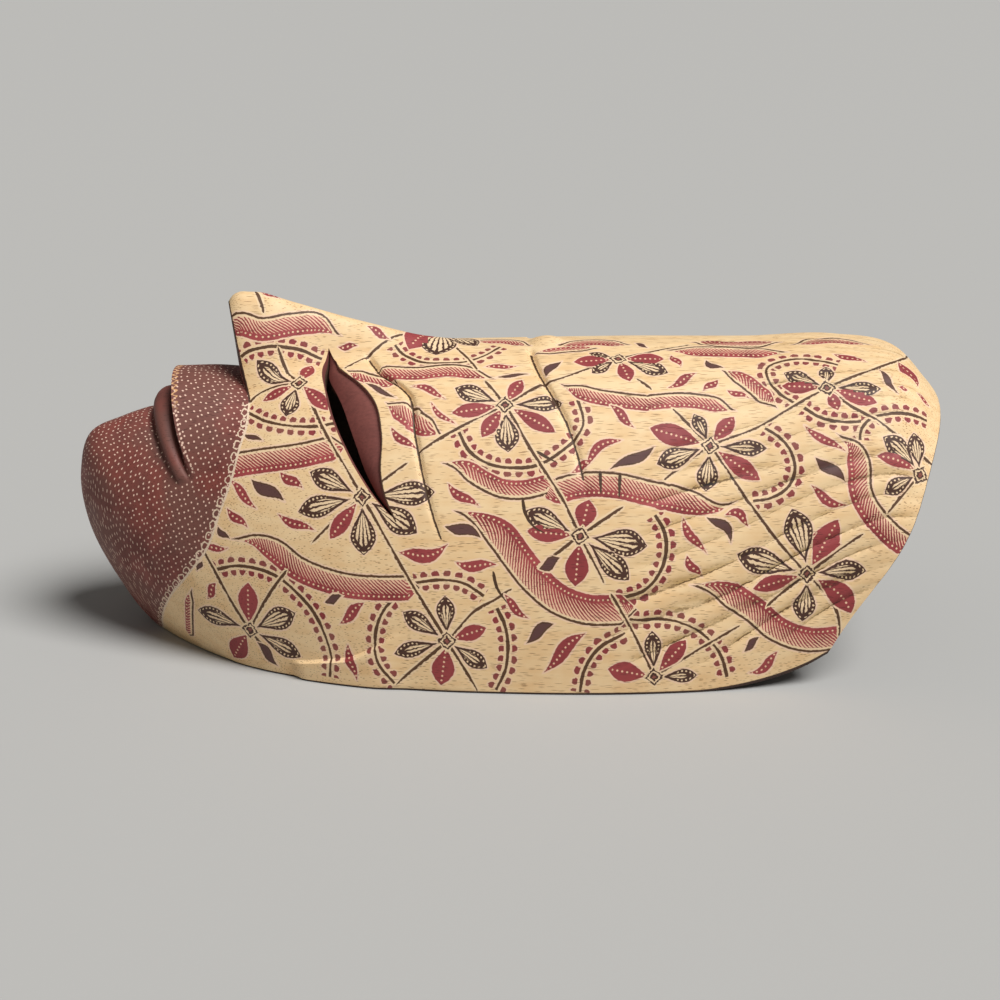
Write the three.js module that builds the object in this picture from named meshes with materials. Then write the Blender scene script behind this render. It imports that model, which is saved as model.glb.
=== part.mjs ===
// Carved wooden mask: one hollow shell that lies face up on its rim.
// Millimetres. +X points to the crown, -X to the chin, +Z out of the face, -Y to the mask's left side.
import * as THREE from 'three';

// Wood left between the outside and the hollow
const WALL = 8;
const CHIN_WALL = 12;
const WIDEST_X = 20;
const WIDEST_HALF = 69;
const CHIN_TIP_X = -135;

// Stations of the smooth form, from the chin tip to the crown edge. Each rib stands on the rim
// and peaks on the crest: rim x, rim half width, rim lift, crest x, crest z, squareness of the rib.
const STATIONS = [
  [CHIN_TIP_X, 0, 0, CHIN_TIP_X, 0, 2.0],
  [-134, 5, 0, -140.5, 6.2, 2.0],
  [-130, 10.5, 0, -150, 22, 2.0],
  [-122, 20, 0, -158.5, 44, 2.0],
  [-112, 30, 0, -159.6, 62.5, 2.0],
  [-104, 37, 0, -155.4, 76, 2.0],
  [-97.5, 42.5, 0, -143.2, 81.9, 2.05],
  [-88.5, 48, 0, -125, 88, 2.1],
  [-76.5, 53.5, 0, -104, 98.5, 2.1],
  [-59, 59.5, 0, -75.5, 106.5, 2.1],
  [-34, 65, 0, -39, 110, 2.1],
  [-1.5, 68, 0, 2.5, 111, 2.1],
  [38, 69, 0, 48, 111.5, 2.15],
  [73, 66.5, 0.2, 92.5, 111.5, 2.2],
  [95, 63.5, 3.5, 125, 111.8, 2.4],
  [107.5, 61.8, 7.7, 146.5, 107.5, 2.55],
  [116, 60.4, 12.2, 159.6, 94, 2.7],
];

// How far the crown edge bows out halfway up its sides, and how far back the bow reaches
const CROWN_BOW = 4;
const BOW_REACH = 60;

// Lines carved across the mask: degrees down from the crest, millimetres along the crest
const NOSE_BASE_LINE = [[0, 146], [10, 147.7], [22, 149.7], [33, 146.5], [41, 141], [60, 128], [90, 108]];
const BROW_LINE = [
  [0, 195], [9, 195.2], [13, 197.2], [17, 199.6], [22.5, 206.8], [26, 210.2], [30, 211.5],
  [36, 212], [43, 213.7], [50, 215.9], [57, 219.2], [62, 222.5], [90, 230],
];
const HAIR_LINE = [
  [0, 253.5], [9, 254.6], [16, 256.5], [22, 259.5], [27, 262.7], [35, 268], [45, 273.2], [60, 279], [90, 286],
];

// Mouth
const MOUTH_LINE = [[0, 121.4], [9, 121.3], [18, 120.4], [27, 119.3], [35, 118.8], [41, 118.8]];
const MOUTH_CORNER = 41;
const LOWER_LIP_FOOT = 110.4;
const LOWER_LIP_HEIGHT = 5.8;
const UPPER_LIP_FACE = 2.6;
const UPPER_LIP_HEIGHT = 10.5;
const PHILTRUM_HEIGHT = -1.5;
const CHIN_GROOVE_DEPTH = 1.6;

// Nose: height of its ridge over the smooth face, by the way along from its base
const NOSE_RIDGE = [
  [0, 27], [1.2, 28.6], [2.5, 29.3], [7, 27.9], [10, 26.5], [14, 24], [20, 20.6], [27, 17.3],
  [38, 12.7], [53, 7.6], [66, 3.5], [80, 1], [92, 0],
];
const NOSE_FOOT = 0.7;
const NOSE_LEAN = 4;
const NOSE_HALF_AT_BASE = 19;
const NOSE_HALF_AT_BRIDGE = 11;
const BRIDGE_AT = 38;

// Eye: a leaf cut below the brow, its floor falling to a narrow slit pierced along the cheek edge.
// Both edges run from the inner corner (0) to the outer corner (1).
const EYE_INNER_ANGLE = 6.8;
const EYE_OUTER_ANGLE = 57.5;
const EYE_BROW_EDGE = [
  [0, 180.3], [0.04, 182.3], [0.15, 184.6], [0.24, 189.6], [0.34, 194.6], [0.43, 197.8],
  [0.54, 199.2], [0.64, 199.6], [0.78, 198.6], [0.87, 199.5], [0.94, 201.3], [1, 204],
];
const EYE_CHEEK_EDGE = [
  [0, 180.3], [0.08, 178.6], [0.18, 178], [0.29, 178.8], [0.48, 180.8], [0.63, 184.2],
  [0.79, 189.9], [0.9, 195.8], [1, 204],
];
const EYE_STEP = 1.3;
const EYE_FLOOR_DEPTH = 6;
const SLIT_SHARE = 0.3;

// Grooves and locks of hair
const BROW_GROOVE_DEPTH = 1.8;
const HAIR_GROOVE_DEPTH = 1.6;
const GROOVE_HALF = 2.2;
// Each line fades out toward the crest and down the side, at these degrees from the crest
const BROW_GROOVE_ENDS = [6.5, 64];
const HAIR_GROOVE_ENDS = [4.5, 56];
const GROOVE_FADE = 4;
const LOCK_PITCH = 6;
const LOCK_DEPTH = 1.2;
const LOCK_START = 286;
const LOCK_SCATTER = 9;
const KNOB_AT = 260.5;
const KNOB_HEIGHT = 2.1;

// Carved ledge low on each side, below the temple: millimetres along the crest, degrees from the crest
const LEDGE_LINE = [
  [0, 85], [120, 86], [146, 86.3], [163, 85.5], [178, 84.5], [187, 83], [205, 79], [225, 81], [250, 85],
];
const LEDGE_HEIGHT = 1.6;
const LEDGE_FOOT = 0.6;

// Hollow behind the nose
const NOSE_HOLLOW = { height: 11, from: -98, to: -52, half: 13 };

// Mesh steps between the grid lines that follow the carving, and round each half rib
const STEPS_TO_CHIN_GROOVE = 12;
const STEPS_ON_PHILTRUM = 3;
const STEPS_ON_CHEEK = 8;
const STEPS_ON_BROW = 5;
const STEPS_ON_HAIRLINE = 4;
const STEPS_TO_CROWN = 10;
const ROW_STEP = 3;
const LAST_ROW = 84;
const INNER_COLUMNS = 30;
const INNER_ROWS_PER_SIDE = 12;

// Cubic curve through the knots, each knot's slope taken from the parabola through its neighbours
function curveThrough(knots, rows) {
  const width = rows[0].length;
  const last = knots.length - 1;
  const chord = (i, k) => (rows[i + 1][k] - rows[i][k]) / (knots[i + 1] - knots[i]);
  const slopes = rows.map((_, i) => Array.from({ length: width }, (_unused, k) => {
    if (i === 0) return chord(0, k);
    if (i === last) return chord(last - 1, k);
    const before = knots[i] - knots[i - 1];
    const after = knots[i + 1] - knots[i];
    return (chord(i - 1, k) * after + chord(i, k) * before) / (before + after);
  }));
  return (t) => {
    const at = THREE.MathUtils.clamp(t, knots[0], knots[last]);
    let i = 0;
    while (i < last - 1 && at > knots[i + 1]) i += 1;
    const span = knots[i + 1] - knots[i];
    const x = (at - knots[i]) / span;
    const x2 = x * x;
    const x3 = x2 * x;
    return rows[i].map((value, k) => (2 * x3 - 3 * x2 + 1) * value
      + (x3 - 2 * x2 + x) * span * slopes[i][k]
      + (3 * x2 - 2 * x3) * rows[i + 1][k]
      + (x3 - x2) * span * slopes[i + 1][k]);
  };
}

function lineThrough(points) {
  const curve = curveThrough(points.map((p) => p[0]), points.map((p) => [p[1]]));
  return (t) => curve(t)[0];
}

const crestKnots = STATIONS.reduce((knots, row, i) => {
  if (i === 0) return [0];
  const before = STATIONS[i - 1];
  return [...knots, knots[i - 1] + Math.hypot(row[3] - before[3], row[4] - before[4])];
}, []);
const CREST_LENGTH = crestKnots[crestKnots.length - 1];
const station = curveThrough(crestKnots, STATIONS);

const mouthLine = lineThrough(MOUTH_LINE);
const noseBaseLine = lineThrough(NOSE_BASE_LINE);
const browLine = lineThrough(BROW_LINE);
const hairLine = lineThrough(HAIR_LINE);
const noseRidge = lineThrough(NOSE_RIDGE);
const eyeBrowEdge = lineThrough(EYE_BROW_EDGE);
const eyeCheekEdge = lineThrough(EYE_CHEEK_EDGE);
const ledgeLine = lineThrough(LEDGE_LINE);

const clamp01 = (t) => THREE.MathUtils.clamp(t, 0, 1);
const ease = (t) => clamp01(t) * clamp01(t) * (3 - 2 * clamp01(t));
const mix = (a, b, t) => a + (b - a) * t;

// One rib: s runs along the crest, the angle goes from -90 at the left rim over 0 at the crest to +90
function ribPoint(rim, crest, half, squareness, bow, angle) {
  const radians = THREE.MathUtils.degToRad(angle);
  const power = 2 / squareness;
  const rise = Math.max(0, Math.cos(radians)) ** power;
  const across = Math.sign(angle) * half * Math.abs(Math.sin(radians)) ** power;
  return new THREE.Vector3(
    mix(rim.x, crest.x, rise) + bow * (4 * rise * (1 - rise)) ** 4,
    across,
    mix(rim.z, crest.z, rise),
  );
}

function crownBow(s) {
  return CROWN_BOW * ease((s - CREST_LENGTH + BOW_REACH) / BOW_REACH);
}

function smoothFace(s, angle) {
  const [rimX, half, rimLift, crestX, crestZ, squareness] = station(s);
  const rim = { x: rimX, z: Math.max(0, rimLift) };
  return ribPoint(rim, { x: crestX, z: crestZ }, half, squareness, crownBow(s), angle);
}

function smoothNormal(s, angle) {
  const ds = 0.5;
  const da = 0.5;
  const inS = THREE.MathUtils.clamp(s, 1.5, CREST_LENGTH - ds);
  const inAngle = THREE.MathUtils.clamp(angle, -89, 89);
  const along = smoothFace(inS + ds, inAngle).sub(smoothFace(inS - ds, inAngle));
  const round = smoothFace(inS, inAngle + da).sub(smoothFace(inS, inAngle - da));
  return along.cross(round).normalize();
}

// The mouth's grid lines shrink toward the rim, where nothing is carved
function mouthScale(down) {
  return down <= MOUTH_CORNER ? 1 : noseBaseLine(down) / noseBaseLine(MOUTH_CORNER);
}

function lipFoot(down) {
  return LOWER_LIP_FOOT + 3.5 * Math.min(1, down / MOUTH_CORNER) ** 2;
}

function mouthRelief(s, down) {
  const toCorner = clamp01(1 - (down / MOUTH_CORNER) ** 2);
  if (toCorner === 0) return 0;
  const foot = lipFoot(down);
  const mouth = mouthLine(down);
  const base = noseBaseLine(down);
  const groove = -CHIN_GROOVE_DEPTH * toCorner * clamp01(1 - Math.abs(s - foot + 1.4) / 2);
  if (s <= foot) return groove;
  if (s <= mouth) {
    const t = (s - foot) / (mouth - foot);
    return LOWER_LIP_HEIGHT * Math.sqrt(toCorner) * Math.sqrt(Math.max(0, 4 * t * (1 - t))) * (1 - 0.2 * t);
  }
  const face = ease((s - mouth) / UPPER_LIP_FACE);
  const along = clamp01((base - s) / (base - mouth - UPPER_LIP_FACE));
  const beyond = clamp01(1 - (s - base) / 14);
  return toCorner * face * ease(beyond) * mix(PHILTRUM_HEIGHT, UPPER_LIP_HEIGHT, along);
}

// The underside of the nose is a wall that stands on a narrow foot in front of the base line
function noseRelief(s, down, across) {
  const way = s - noseBaseLine(down);
  const half = mix(NOSE_HALF_AT_BASE, NOSE_HALF_AT_BRIDGE, ease(way / BRIDGE_AT));
  const t = Math.abs(across) / half;
  const under = clamp01(1 + (way + 0.01) / NOSE_FOOT);
  return t >= 1 ? 0 : under * noseRidge(way) * (1 - t * t) ** 2;
}

function groove(s, line, depth, down, ends) {
  const fade = clamp01(1 - (down / ends[1]) ** 2) * ease((down - ends[0]) / GROOVE_FADE);
  return -depth * fade * clamp01(1 - Math.abs(s - line) / GROOVE_HALF);
}

function hairRelief(s, row) {
  const start = ease((s - LOCK_START - LOCK_SCATTER * Math.sin(row)) / 16);
  const end = ease((CREST_LENGTH + 12 - s) / 40);
  const carved = 0.8 + 0.2 * Math.sin(1.7 * row);
  const weight = carved * mix(0.45, 1, ease((row - 30) / 30)) * ease((86 - row) / 6);
  const wave = 0.5 - 0.5 * Math.cos((2 * Math.PI * row) / LOCK_PITCH);
  return -LOCK_DEPTH * start * end * weight * wave;
}

function knobRelief(s, across) {
  return KNOB_HEIGHT * clamp01(1 - ((s - KNOB_AT) / 7) ** 2 - (across / 7) ** 2);
}

function ledgeRelief(s, down) {
  const ends = ease((s - 140) / 8) * ease((208 - s) / 22);
  const foot = ledgeLine(s);
  return LEDGE_HEIGHT * ends * clamp01((down - foot) / LEDGE_FOOT);
}

// Rows bend so that one of them follows the ledge
function rowToAngle(row, s) {
  const ledge = ledgeLine(s);
  if (row <= LAST_ROW) return (row / LAST_ROW) * ledge;
  return mix(ledge, 90, (row - LAST_ROW) / (90 - LAST_ROW));
}

function angleToRow(down, s) {
  const ledge = ledgeLine(s);
  if (down <= ledge) return (down / ledge) * LAST_ROW;
  return mix(LAST_ROW, 90, (down - ledge) / (90 - ledge));
}

function carvedFace(s, angle) {
  const point = smoothFace(s, angle);
  const down = Math.abs(angle);
  const out = mouthRelief(s, down)
    + groove(s, browLine(down), BROW_GROOVE_DEPTH, down, BROW_GROOVE_ENDS)
    + groove(s, hairLine(down), HAIR_GROOVE_DEPTH, down, HAIR_GROOVE_ENDS)
    + hairRelief(s, angleToRow(down, s))
    + knobRelief(s, point.y)
    + ledgeRelief(s, down);
  const lift = noseRelief(s, down, point.y);
  if (out !== 0) {
    const push = smoothNormal(s, angle).multiplyScalar(out);
    if (down > 89.9) push.z = 0;
    point.add(push);
  }
  // The tip leans over the lip
  point.x -= NOSE_LEAN * (lift / noseRidge(0)) * clamp01(1 - (s - noseBaseLine(down)) / 25) ** 2;
  point.z += lift;
  return point;
}

// The hollow: the same ribs, smaller, so that the rim and the crown edge stay flat
function hollowFace(s, angle) {
  const [rimX, half, rimLift, crestX, crestZ, squareness] = station(s);
  const [nextRimX, , nextLift, nextX, nextZ] = station(s + 0.5);
  const [lastRimX, , lastLift, lastX, lastZ] = station(s - 0.5);
  const chinWay = clamp01((WIDEST_X - rimX) / (WIDEST_X - CHIN_TIP_X));
  const inRimX = rimX + chinWay * CHIN_WALL;
  const inHalf = half * (1 - WALL / WIDEST_HALF);
  const inward = new THREE.Vector2(nextZ - lastZ, -(nextX - lastX)).normalize();
  const edge = new THREE.Vector2(rimX - crestX, rimLift - crestZ).normalize();
  inward.lerp(edge, ease((s - CREST_LENGTH + 30) / 30)).normalize();
  const fromTip = ease(s / 12);
  const crest = {
    x: mix(CHIN_TIP_X + CHIN_WALL, crestX + inward.x * WALL, fromTip),
    z: mix(0, crestZ + inward.y * WALL, fromTip),
  };
  const inRim = { x: inRimX, z: Math.max(0, rimLift) };
  const point = ribPoint(inRim, crest, inHalf, squareness, crownBow(s), angle);
  const { height, from, to, half: hollowHalf } = NOSE_HOLLOW;
  const lengthwise = (2 * point.x - from - to) / (to - from);
  const sideways = point.y / hollowHalf;
  const inNose = clamp01(1 - lengthwise * lengthwise) * clamp01(1 - sideways * sideways);
  point.z += height * inNose * inNose;
  return point;
}

// Lines of the grid along one row, in order, and the steps from each to the next
function gridLines(row) {
  const down = rowToAngle(row, mouthLine(row));
  const shrink = mouthScale(down);
  const foot = lipFoot(down);
  const mouth = mouthLine(down);
  const base = noseBaseLine(rowToAngle(row, noseBaseLine(row)));
  const brow = browLine(rowToAngle(row, browLine(row)));
  const hair = hairLine(rowToAngle(row, hairLine(row)));
  return [
    [0, STEPS_TO_CHIN_GROOVE],
    [(foot - 3.2) * shrink, 1],
    [(foot - 1.4) * shrink, 1],
    [foot * shrink, 1],
    [mix(foot, mouth, 0.22) * shrink, 1],
    [mix(foot, mouth, 0.75) * shrink, 1],
    [mouth * shrink, 1],
    [(mouth + UPPER_LIP_FACE) * shrink, STEPS_ON_PHILTRUM],
    [base - NOSE_FOOT, 1],
    [base, 1],
    [base + 3, STEPS_ON_CHEEK],
    [brow - GROOVE_HALF, 1],
    [brow, 1],
    [brow + GROOVE_HALF, STEPS_ON_BROW],
    [hair - GROOVE_HALF, 1],
    [hair, 1],
    [hair + GROOVE_HALF, STEPS_ON_HAIRLINE],
    [hair + 18, STEPS_TO_CROWN],
    [CREST_LENGTH, 0],
  ];
}

function columnPositions(row) {
  const lines = gridLines(row);
  const positions = [];
  lines.forEach(([from, steps], i) => {
    for (let step = 0; step < steps; step += 1) positions.push(mix(from, lines[i + 1][0], step / steps));
  });
  positions.push(CREST_LENGTH);
  return positions;
}

// Rows round one half of the mask, the crest first and the rim last
function sideRows() {
  const rows = [];
  for (let row = 0; row <= LAST_ROW; row += ROW_STEP) rows.push(row);
  return [...rows, LAST_ROW + 0.7, 90];
}

// Grows a triangle mesh from shared points
class ShellMesh {
  constructor() {
    this.points = [];
    this.triangles = [];
  }

  add(point) {
    this.points.push(point);
    return this.points.length - 1;
  }

  triangle(a, b, c) {
    if (a !== b && b !== c && c !== a) this.triangles.push([a, b, c]);
  }

  normal(a, b, c) {
    const [p, q, r] = [this.points[a], this.points[b], this.points[c]];
    return q.clone().sub(p).cross(r.clone().sub(p)).normalize();
  }

  // Splits four corners along the diagonal that bends the surface least
  quad(a, b, c, d) {
    const first = this.normal(a, b, c).dot(this.normal(a, c, d));
    const second = this.normal(a, b, d).dot(this.normal(b, c, d));
    if (first >= second) {
      this.triangle(a, b, c);
      this.triangle(a, c, d);
    } else {
      this.triangle(a, b, d);
      this.triangle(b, c, d);
    }
  }

  // Joins two rings of points, each a list of { index, at } with at rising from 0 to 1
  zip(first, second) {
    const near = [...first, { ...first[0], at: 1 }];
    const far = [...second, { ...second[0], at: 1 }];
    let i = 0;
    let j = 0;
    while (i < near.length - 1 || j < far.length - 1) {
      const nextNear = i < near.length - 1 ? near[i + 1].at : Infinity;
      const nextFar = j < far.length - 1 ? far[j + 1].at : Infinity;
      if (Math.abs(nextNear - nextFar) < 1e-6) {
        this.quad(near[i].index, far[j].index, far[j + 1].index, near[i + 1].index);
        i += 1;
        j += 1;
      } else if (nextNear < nextFar) {
        this.triangle(near[i].index, far[j].index, near[i + 1].index);
        i += 1;
      } else {
        this.triangle(near[i].index, far[j].index, far[j + 1].index);
        j += 1;
      }
    }
  }

  geometry() {
    const positions = this.points.flatMap((p) => [p.x, p.y, p.z]);
    const index = this.volume() < 0 ? this.triangles.map(([a, b, c]) => [a, c, b]) : this.triangles;
    const geometry = new THREE.BufferGeometry();
    geometry.setAttribute('position', new THREE.Float32BufferAttribute(positions, 3));
    geometry.setIndex(index.flat());
    geometry.computeVertexNormals();
    return geometry;
  }

  volume() {
    const { points } = this;
    return this.triangles.reduce(
      (sum, [a, b, c]) => sum + points[a].dot(new THREE.Vector3().crossVectors(points[b], points[c])) / 6,
      0,
    );
  }
}

// A grid of points over the mask with one leaf-shaped window left out on each side
class MaskGrid {
  constructor(mesh, angles, columnsAt, place, window, facesOut) {
    this.mesh = mesh;
    this.facesOut = facesOut;
    this.window = window;
    this.rows = angles.length;
    this.at = angles.map((signedRow) => columnsAt(Math.abs(signedRow)).map((s) => {
      const angle = Math.sign(signedRow) * rowToAngle(Math.abs(signedRow), s);
      return { s, angle };
    }));
    this.columns = this.at[0].length;
    const pole = mesh.add(place(0, 0));
    this.index = this.at.map((row) => row.map(
      (spot, column) => (column === 0 ? pole : mesh.add(place(spot.s, spot.angle))),
    ));
    this.fill();
  }

  inWindow(row, column) {
    const { lowRow, highRow, lowColumn, highColumn } = this.window;
    if (column < lowColumn || column >= highColumn) return false;
    const middle = (this.rows - 1) / 2;
    const outFromCrest = row < middle ? middle - row - 1 : row - middle;
    return outFromCrest >= lowRow && outFromCrest < highRow;
  }

  fill() {
    for (let row = 0; row < this.rows - 1; row += 1) {
      for (let column = 0; column < this.columns - 1; column += 1) {
        if (!this.inWindow(row, column)) {
          const corners = [
            this.index[row][column],
            this.index[row][column + 1],
            this.index[row + 1][column + 1],
            this.index[row + 1][column],
          ];
          if (!this.facesOut) corners.reverse();
          this.mesh.quad(...corners);
        }
      }
    }
  }

  // Outer boundary: left rim to the crown, over the crown edge, right rim back to the chin
  boundary() {
    const lastRow = this.rows - 1;
    const lastColumn = this.columns - 1;
    const ring = [];
    for (let column = 0; column < lastColumn; column += 1) {
      ring.push({ index: this.index[0][column], at: this.at[0][column].s / CREST_LENGTH / 3 });
    }
    for (let row = 0; row < lastRow; row += 1) {
      const over = (this.at[row][lastColumn].angle + 90) / 180;
      ring.push({ index: this.index[row][lastColumn], at: (1 + over) / 3 });
    }
    for (let column = lastColumn; column > 0; column -= 1) {
      const back = 3 - this.at[lastRow][column].s / CREST_LENGTH;
      ring.push({ index: this.index[lastRow][column], at: back / 3 });
    }
    return ring;
  }

  // Ring round the window on one side, from the middle of its crest end along the brow edge first.
  // The outer corner of the eye answers to the last column but one of the far end.
  windowRing(side) {
    const { lowRow, highRow, lowColumn, highColumn } = this.window;
    const middle = (this.rows - 1) / 2;
    const start = Math.round((lowColumn + highColumn) / 2);
    const spots = [];
    for (let column = start; column < highColumn; column += 1) spots.push([lowRow, column]);
    for (let row = lowRow; row < highRow; row += 1) spots.push([row, highColumn]);
    for (let column = highColumn; column > lowColumn; column -= 1) spots.push([highRow, column]);
    for (let row = highRow; row > lowRow; row -= 1) spots.push([row, lowColumn]);
    for (let column = lowColumn; column < start; column += 1) spots.push([lowRow, column]);
    const turn = spots.findIndex(([row, column]) => row === highRow && column === highColumn - 1);
    return spots.map(([outRow, column], i) => {
      const row = middle + side * outRow;
      const share = i <= turn ? i / turn / 2 : 0.5 + (i - turn) / (spots.length - turn) / 2;
      return { index: this.index[row][column], at: share, ...this.at[row][column] };
    });
  }
}

// A spot on the eye's leaf: at goes round it, inset draws it in toward a line near the cheek edge
function leafSpot(at, side, browInset, cheekInset) {
  const onBrow = at <= 0.5;
  const k = onBrow ? at * 2 : 2 - at * 2;
  const brow = eyeBrowEdge(k);
  const cheek = eyeCheekEdge(k);
  const share = onBrow ? browInset : 1 - cheekInset;
  const down = mix(EYE_INNER_ANGLE, EYE_OUTER_ANGLE, k);
  return { s: mix(brow, cheek, share), angle: side * down, k };
}

// The rings of an eye, from the window in the outer grid, down its walls and floor, through the slit
// and out to the window in the hollow's grid
function carveEye(mesh, outer, inner, side) {
  const outerRing = outer.windowRing(side);
  const sink = (spot, depth) => {
    const point = carvedFace(spot.s, spot.angle);
    return point.addScaledVector(smoothNormal(spot.s, spot.angle), -depth);
  };
  const ringOf = (make) => outerRing.map((from) => ({ at: from.at, index: mesh.add(make(from)) }));
  const between = (share) => ringOf((from) => {
    const to = leafSpot(from.at, side, 0, 0);
    return carvedFace(mix(from.s, to.s, share), mix(from.angle, to.angle, share));
  });
  const floorRing = (browInset, cheekInset, browDepth, cheekDepth) => ringOf((from) => {
    const spot = leafSpot(from.at, side, browInset, cheekInset);
    const corner = Math.sin(Math.PI * THREE.MathUtils.clamp(spot.k, 0.02, 0.98)) ** 0.5;
    const depth = from.at <= 0.5 ? browDepth : cheekDepth;
    return sink(spot, mix(1, depth, corner));
  });
  const slitBrow = 1 - SLIT_SHARE;
  const rings = [
    outerRing,
    between(0.4),
    between(0.75),
    between(1),
    floorRing(0.03, 0.01, EYE_STEP, EYE_STEP),
    floorRing(0.35, 0.015, 2.6, 4.5),
    floorRing(slitBrow, 0.02, EYE_FLOOR_DEPTH, EYE_FLOOR_DEPTH),
    ringOf((from) => {
      const spot = leafSpot(from.at, side, slitBrow - 0.06, 0);
      return hollowFace(spot.s, spot.angle);
    }),
    inner.windowRing(side),
  ];
  for (let i = 0; i < rings.length - 1; i += 1) {
    if (side < 0) mesh.zip(rings[i], rings[i + 1]);
    else mesh.zip(rings[i + 1], rings[i]);
  }
}

function makeShell() {
  const mesh = new ShellMesh();
  const half = sideRows();
  const signedRows = [...half.slice(1).reverse().map((row) => -row), ...half];
  const columns = columnPositions(0);
  const outer = new MaskGrid(mesh, signedRows, columnPositions, carvedFace, {
    lowRow: 2,
    highRow: 22,
    lowColumn: columns.findIndex((s) => s > 160),
    highColumn: columns.findIndex((s) => s > browLine(0) - GROOVE_HALF - 0.1),
  }, true);
  const innerRows = [];
  for (let i = -INNER_ROWS_PER_SIDE; i <= INNER_ROWS_PER_SIDE; i += 1) {
    innerRows.push((i / INNER_ROWS_PER_SIDE) * 90);
  }
  const innerStep = CREST_LENGTH / INNER_COLUMNS;
  const innerColumns = Array.from({ length: INNER_COLUMNS + 1 }, (_, i) => i * innerStep);
  const inner = new MaskGrid(mesh, innerRows, () => innerColumns, hollowFace, {
    lowRow: 1,
    highRow: 9,
    lowColumn: innerColumns.findIndex((s) => s > 150),
    highColumn: innerColumns.findIndex((s) => s > 215),
  }, false);
  mesh.zip(outer.boundary(), inner.boundary());
  carveEye(mesh, outer, inner, -1);
  carveEye(mesh, outer, inner, 1);
  return mesh.geometry();
}

const lightWood = new THREE.MeshStandardMaterial({ color: 0xdcbc88, roughness: 0.55, metalness: 0 });
const shell = new THREE.Mesh(makeShell(), lightWood);
shell.name = 'mask_shell';

const group = new THREE.Group();
group.add(shell);
export default group;
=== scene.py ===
"""Looks of a carved wooden mask with a painted batik pattern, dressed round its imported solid.

A place on the mask is s, millimetres along the crest from the chin tip, and an angle, degrees down from
the crest: negative toward the mask's left rim at -Y, positive toward its right rim at +Y.
"""

import logging
import math
from collections.abc import Callable
from dataclasses import dataclass, field, replace
from enum import Enum

import bpy
import numpy as np
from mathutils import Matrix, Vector


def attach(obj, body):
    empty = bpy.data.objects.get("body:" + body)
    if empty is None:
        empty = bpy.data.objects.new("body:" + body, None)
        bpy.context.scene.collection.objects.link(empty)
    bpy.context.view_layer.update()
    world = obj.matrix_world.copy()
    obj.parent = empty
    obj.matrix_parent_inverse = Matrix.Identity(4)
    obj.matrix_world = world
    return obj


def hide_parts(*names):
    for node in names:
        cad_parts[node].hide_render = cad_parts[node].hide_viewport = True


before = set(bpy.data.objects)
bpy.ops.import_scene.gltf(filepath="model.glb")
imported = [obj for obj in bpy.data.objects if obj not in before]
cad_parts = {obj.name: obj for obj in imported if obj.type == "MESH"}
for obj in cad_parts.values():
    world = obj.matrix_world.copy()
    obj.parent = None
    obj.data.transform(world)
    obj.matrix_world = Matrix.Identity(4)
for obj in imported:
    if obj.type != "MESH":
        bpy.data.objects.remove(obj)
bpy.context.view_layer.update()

MM = 0.001
Array = np.ndarray


def clamp01(t: Array | float) -> Array:
    """Holds t between 0 and 1."""
    return np.clip(t, 0.0, 1.0)


def ease(t: Array | float) -> Array:
    """Turns a straight 0 to 1 into one with soft ends."""
    held = clamp01(t)
    return held * held * (3 - 2 * held)


def mix(a: Array | float, b: Array | float, t: Array | float) -> Array:
    """The value that lies the share t of the way from a to b."""
    return a + (b - a) * t


def unit(vectors: Array) -> Array:
    """Vectors at length 1, along the last axis."""
    length = np.linalg.norm(vectors, axis=-1, keepdims=True)
    return vectors / np.maximum(length, 1e-12)


class SmoothCurve:
    """Cubic curve through its knots, each knot's slope taken from the parabola through its neighbours."""

    def __init__(self, knots: list[float], rows: list) -> None:
        """Works out the slopes.

        Args:
            knots: where each row lies along the curve, rising.
            rows: the values at each knot, one number or a list of numbers each.
        """
        self.knots = np.array(knots, float)
        self.rows = np.array(rows, float).reshape(len(knots), -1)
        spans = np.diff(self.knots)[:, None]
        chords = np.diff(self.rows, axis=0) / spans
        inner = (chords[:-1] * spans[1:] + chords[1:] * spans[:-1]) / (spans[:-1] + spans[1:])
        self.slopes = np.vstack([chords[:1], inner, chords[-1:]])

    def rows_at(self, t: Array | float) -> Array:
        """Reads the curve.

        Args:
            t: where along it, held to its ends.

        Returns:
            The row of values at each t.
        """
        held = np.clip(np.asarray(t, float), self.knots[0], self.knots[-1])
        i = np.clip(np.searchsorted(self.knots, held, side="left") - 1, 0, len(self.knots) - 2)
        span = (self.knots[i + 1] - self.knots[i])[..., None]
        x = (held - self.knots[i])[..., None] / span
        x2, x3 = x * x, x * x * x
        return (
            (2 * x3 - 3 * x2 + 1) * self.rows[i]
            + (x3 - 2 * x2 + x) * span * self.slopes[i]
            + (3 * x2 - 2 * x3) * self.rows[i + 1]
            + (x3 - x2) * span * self.slopes[i + 1]
        )

    def at(self, t: Array | float) -> Array:
        """The first value of the row at each t."""
        return self.rows_at(t)[..., 0]


def line_through(points: list[tuple[float, float]]) -> SmoothCurve:
    """A curve through points given as (where, value)."""
    return SmoothCurve([p[0] for p in points], [p[1] for p in points])


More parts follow.
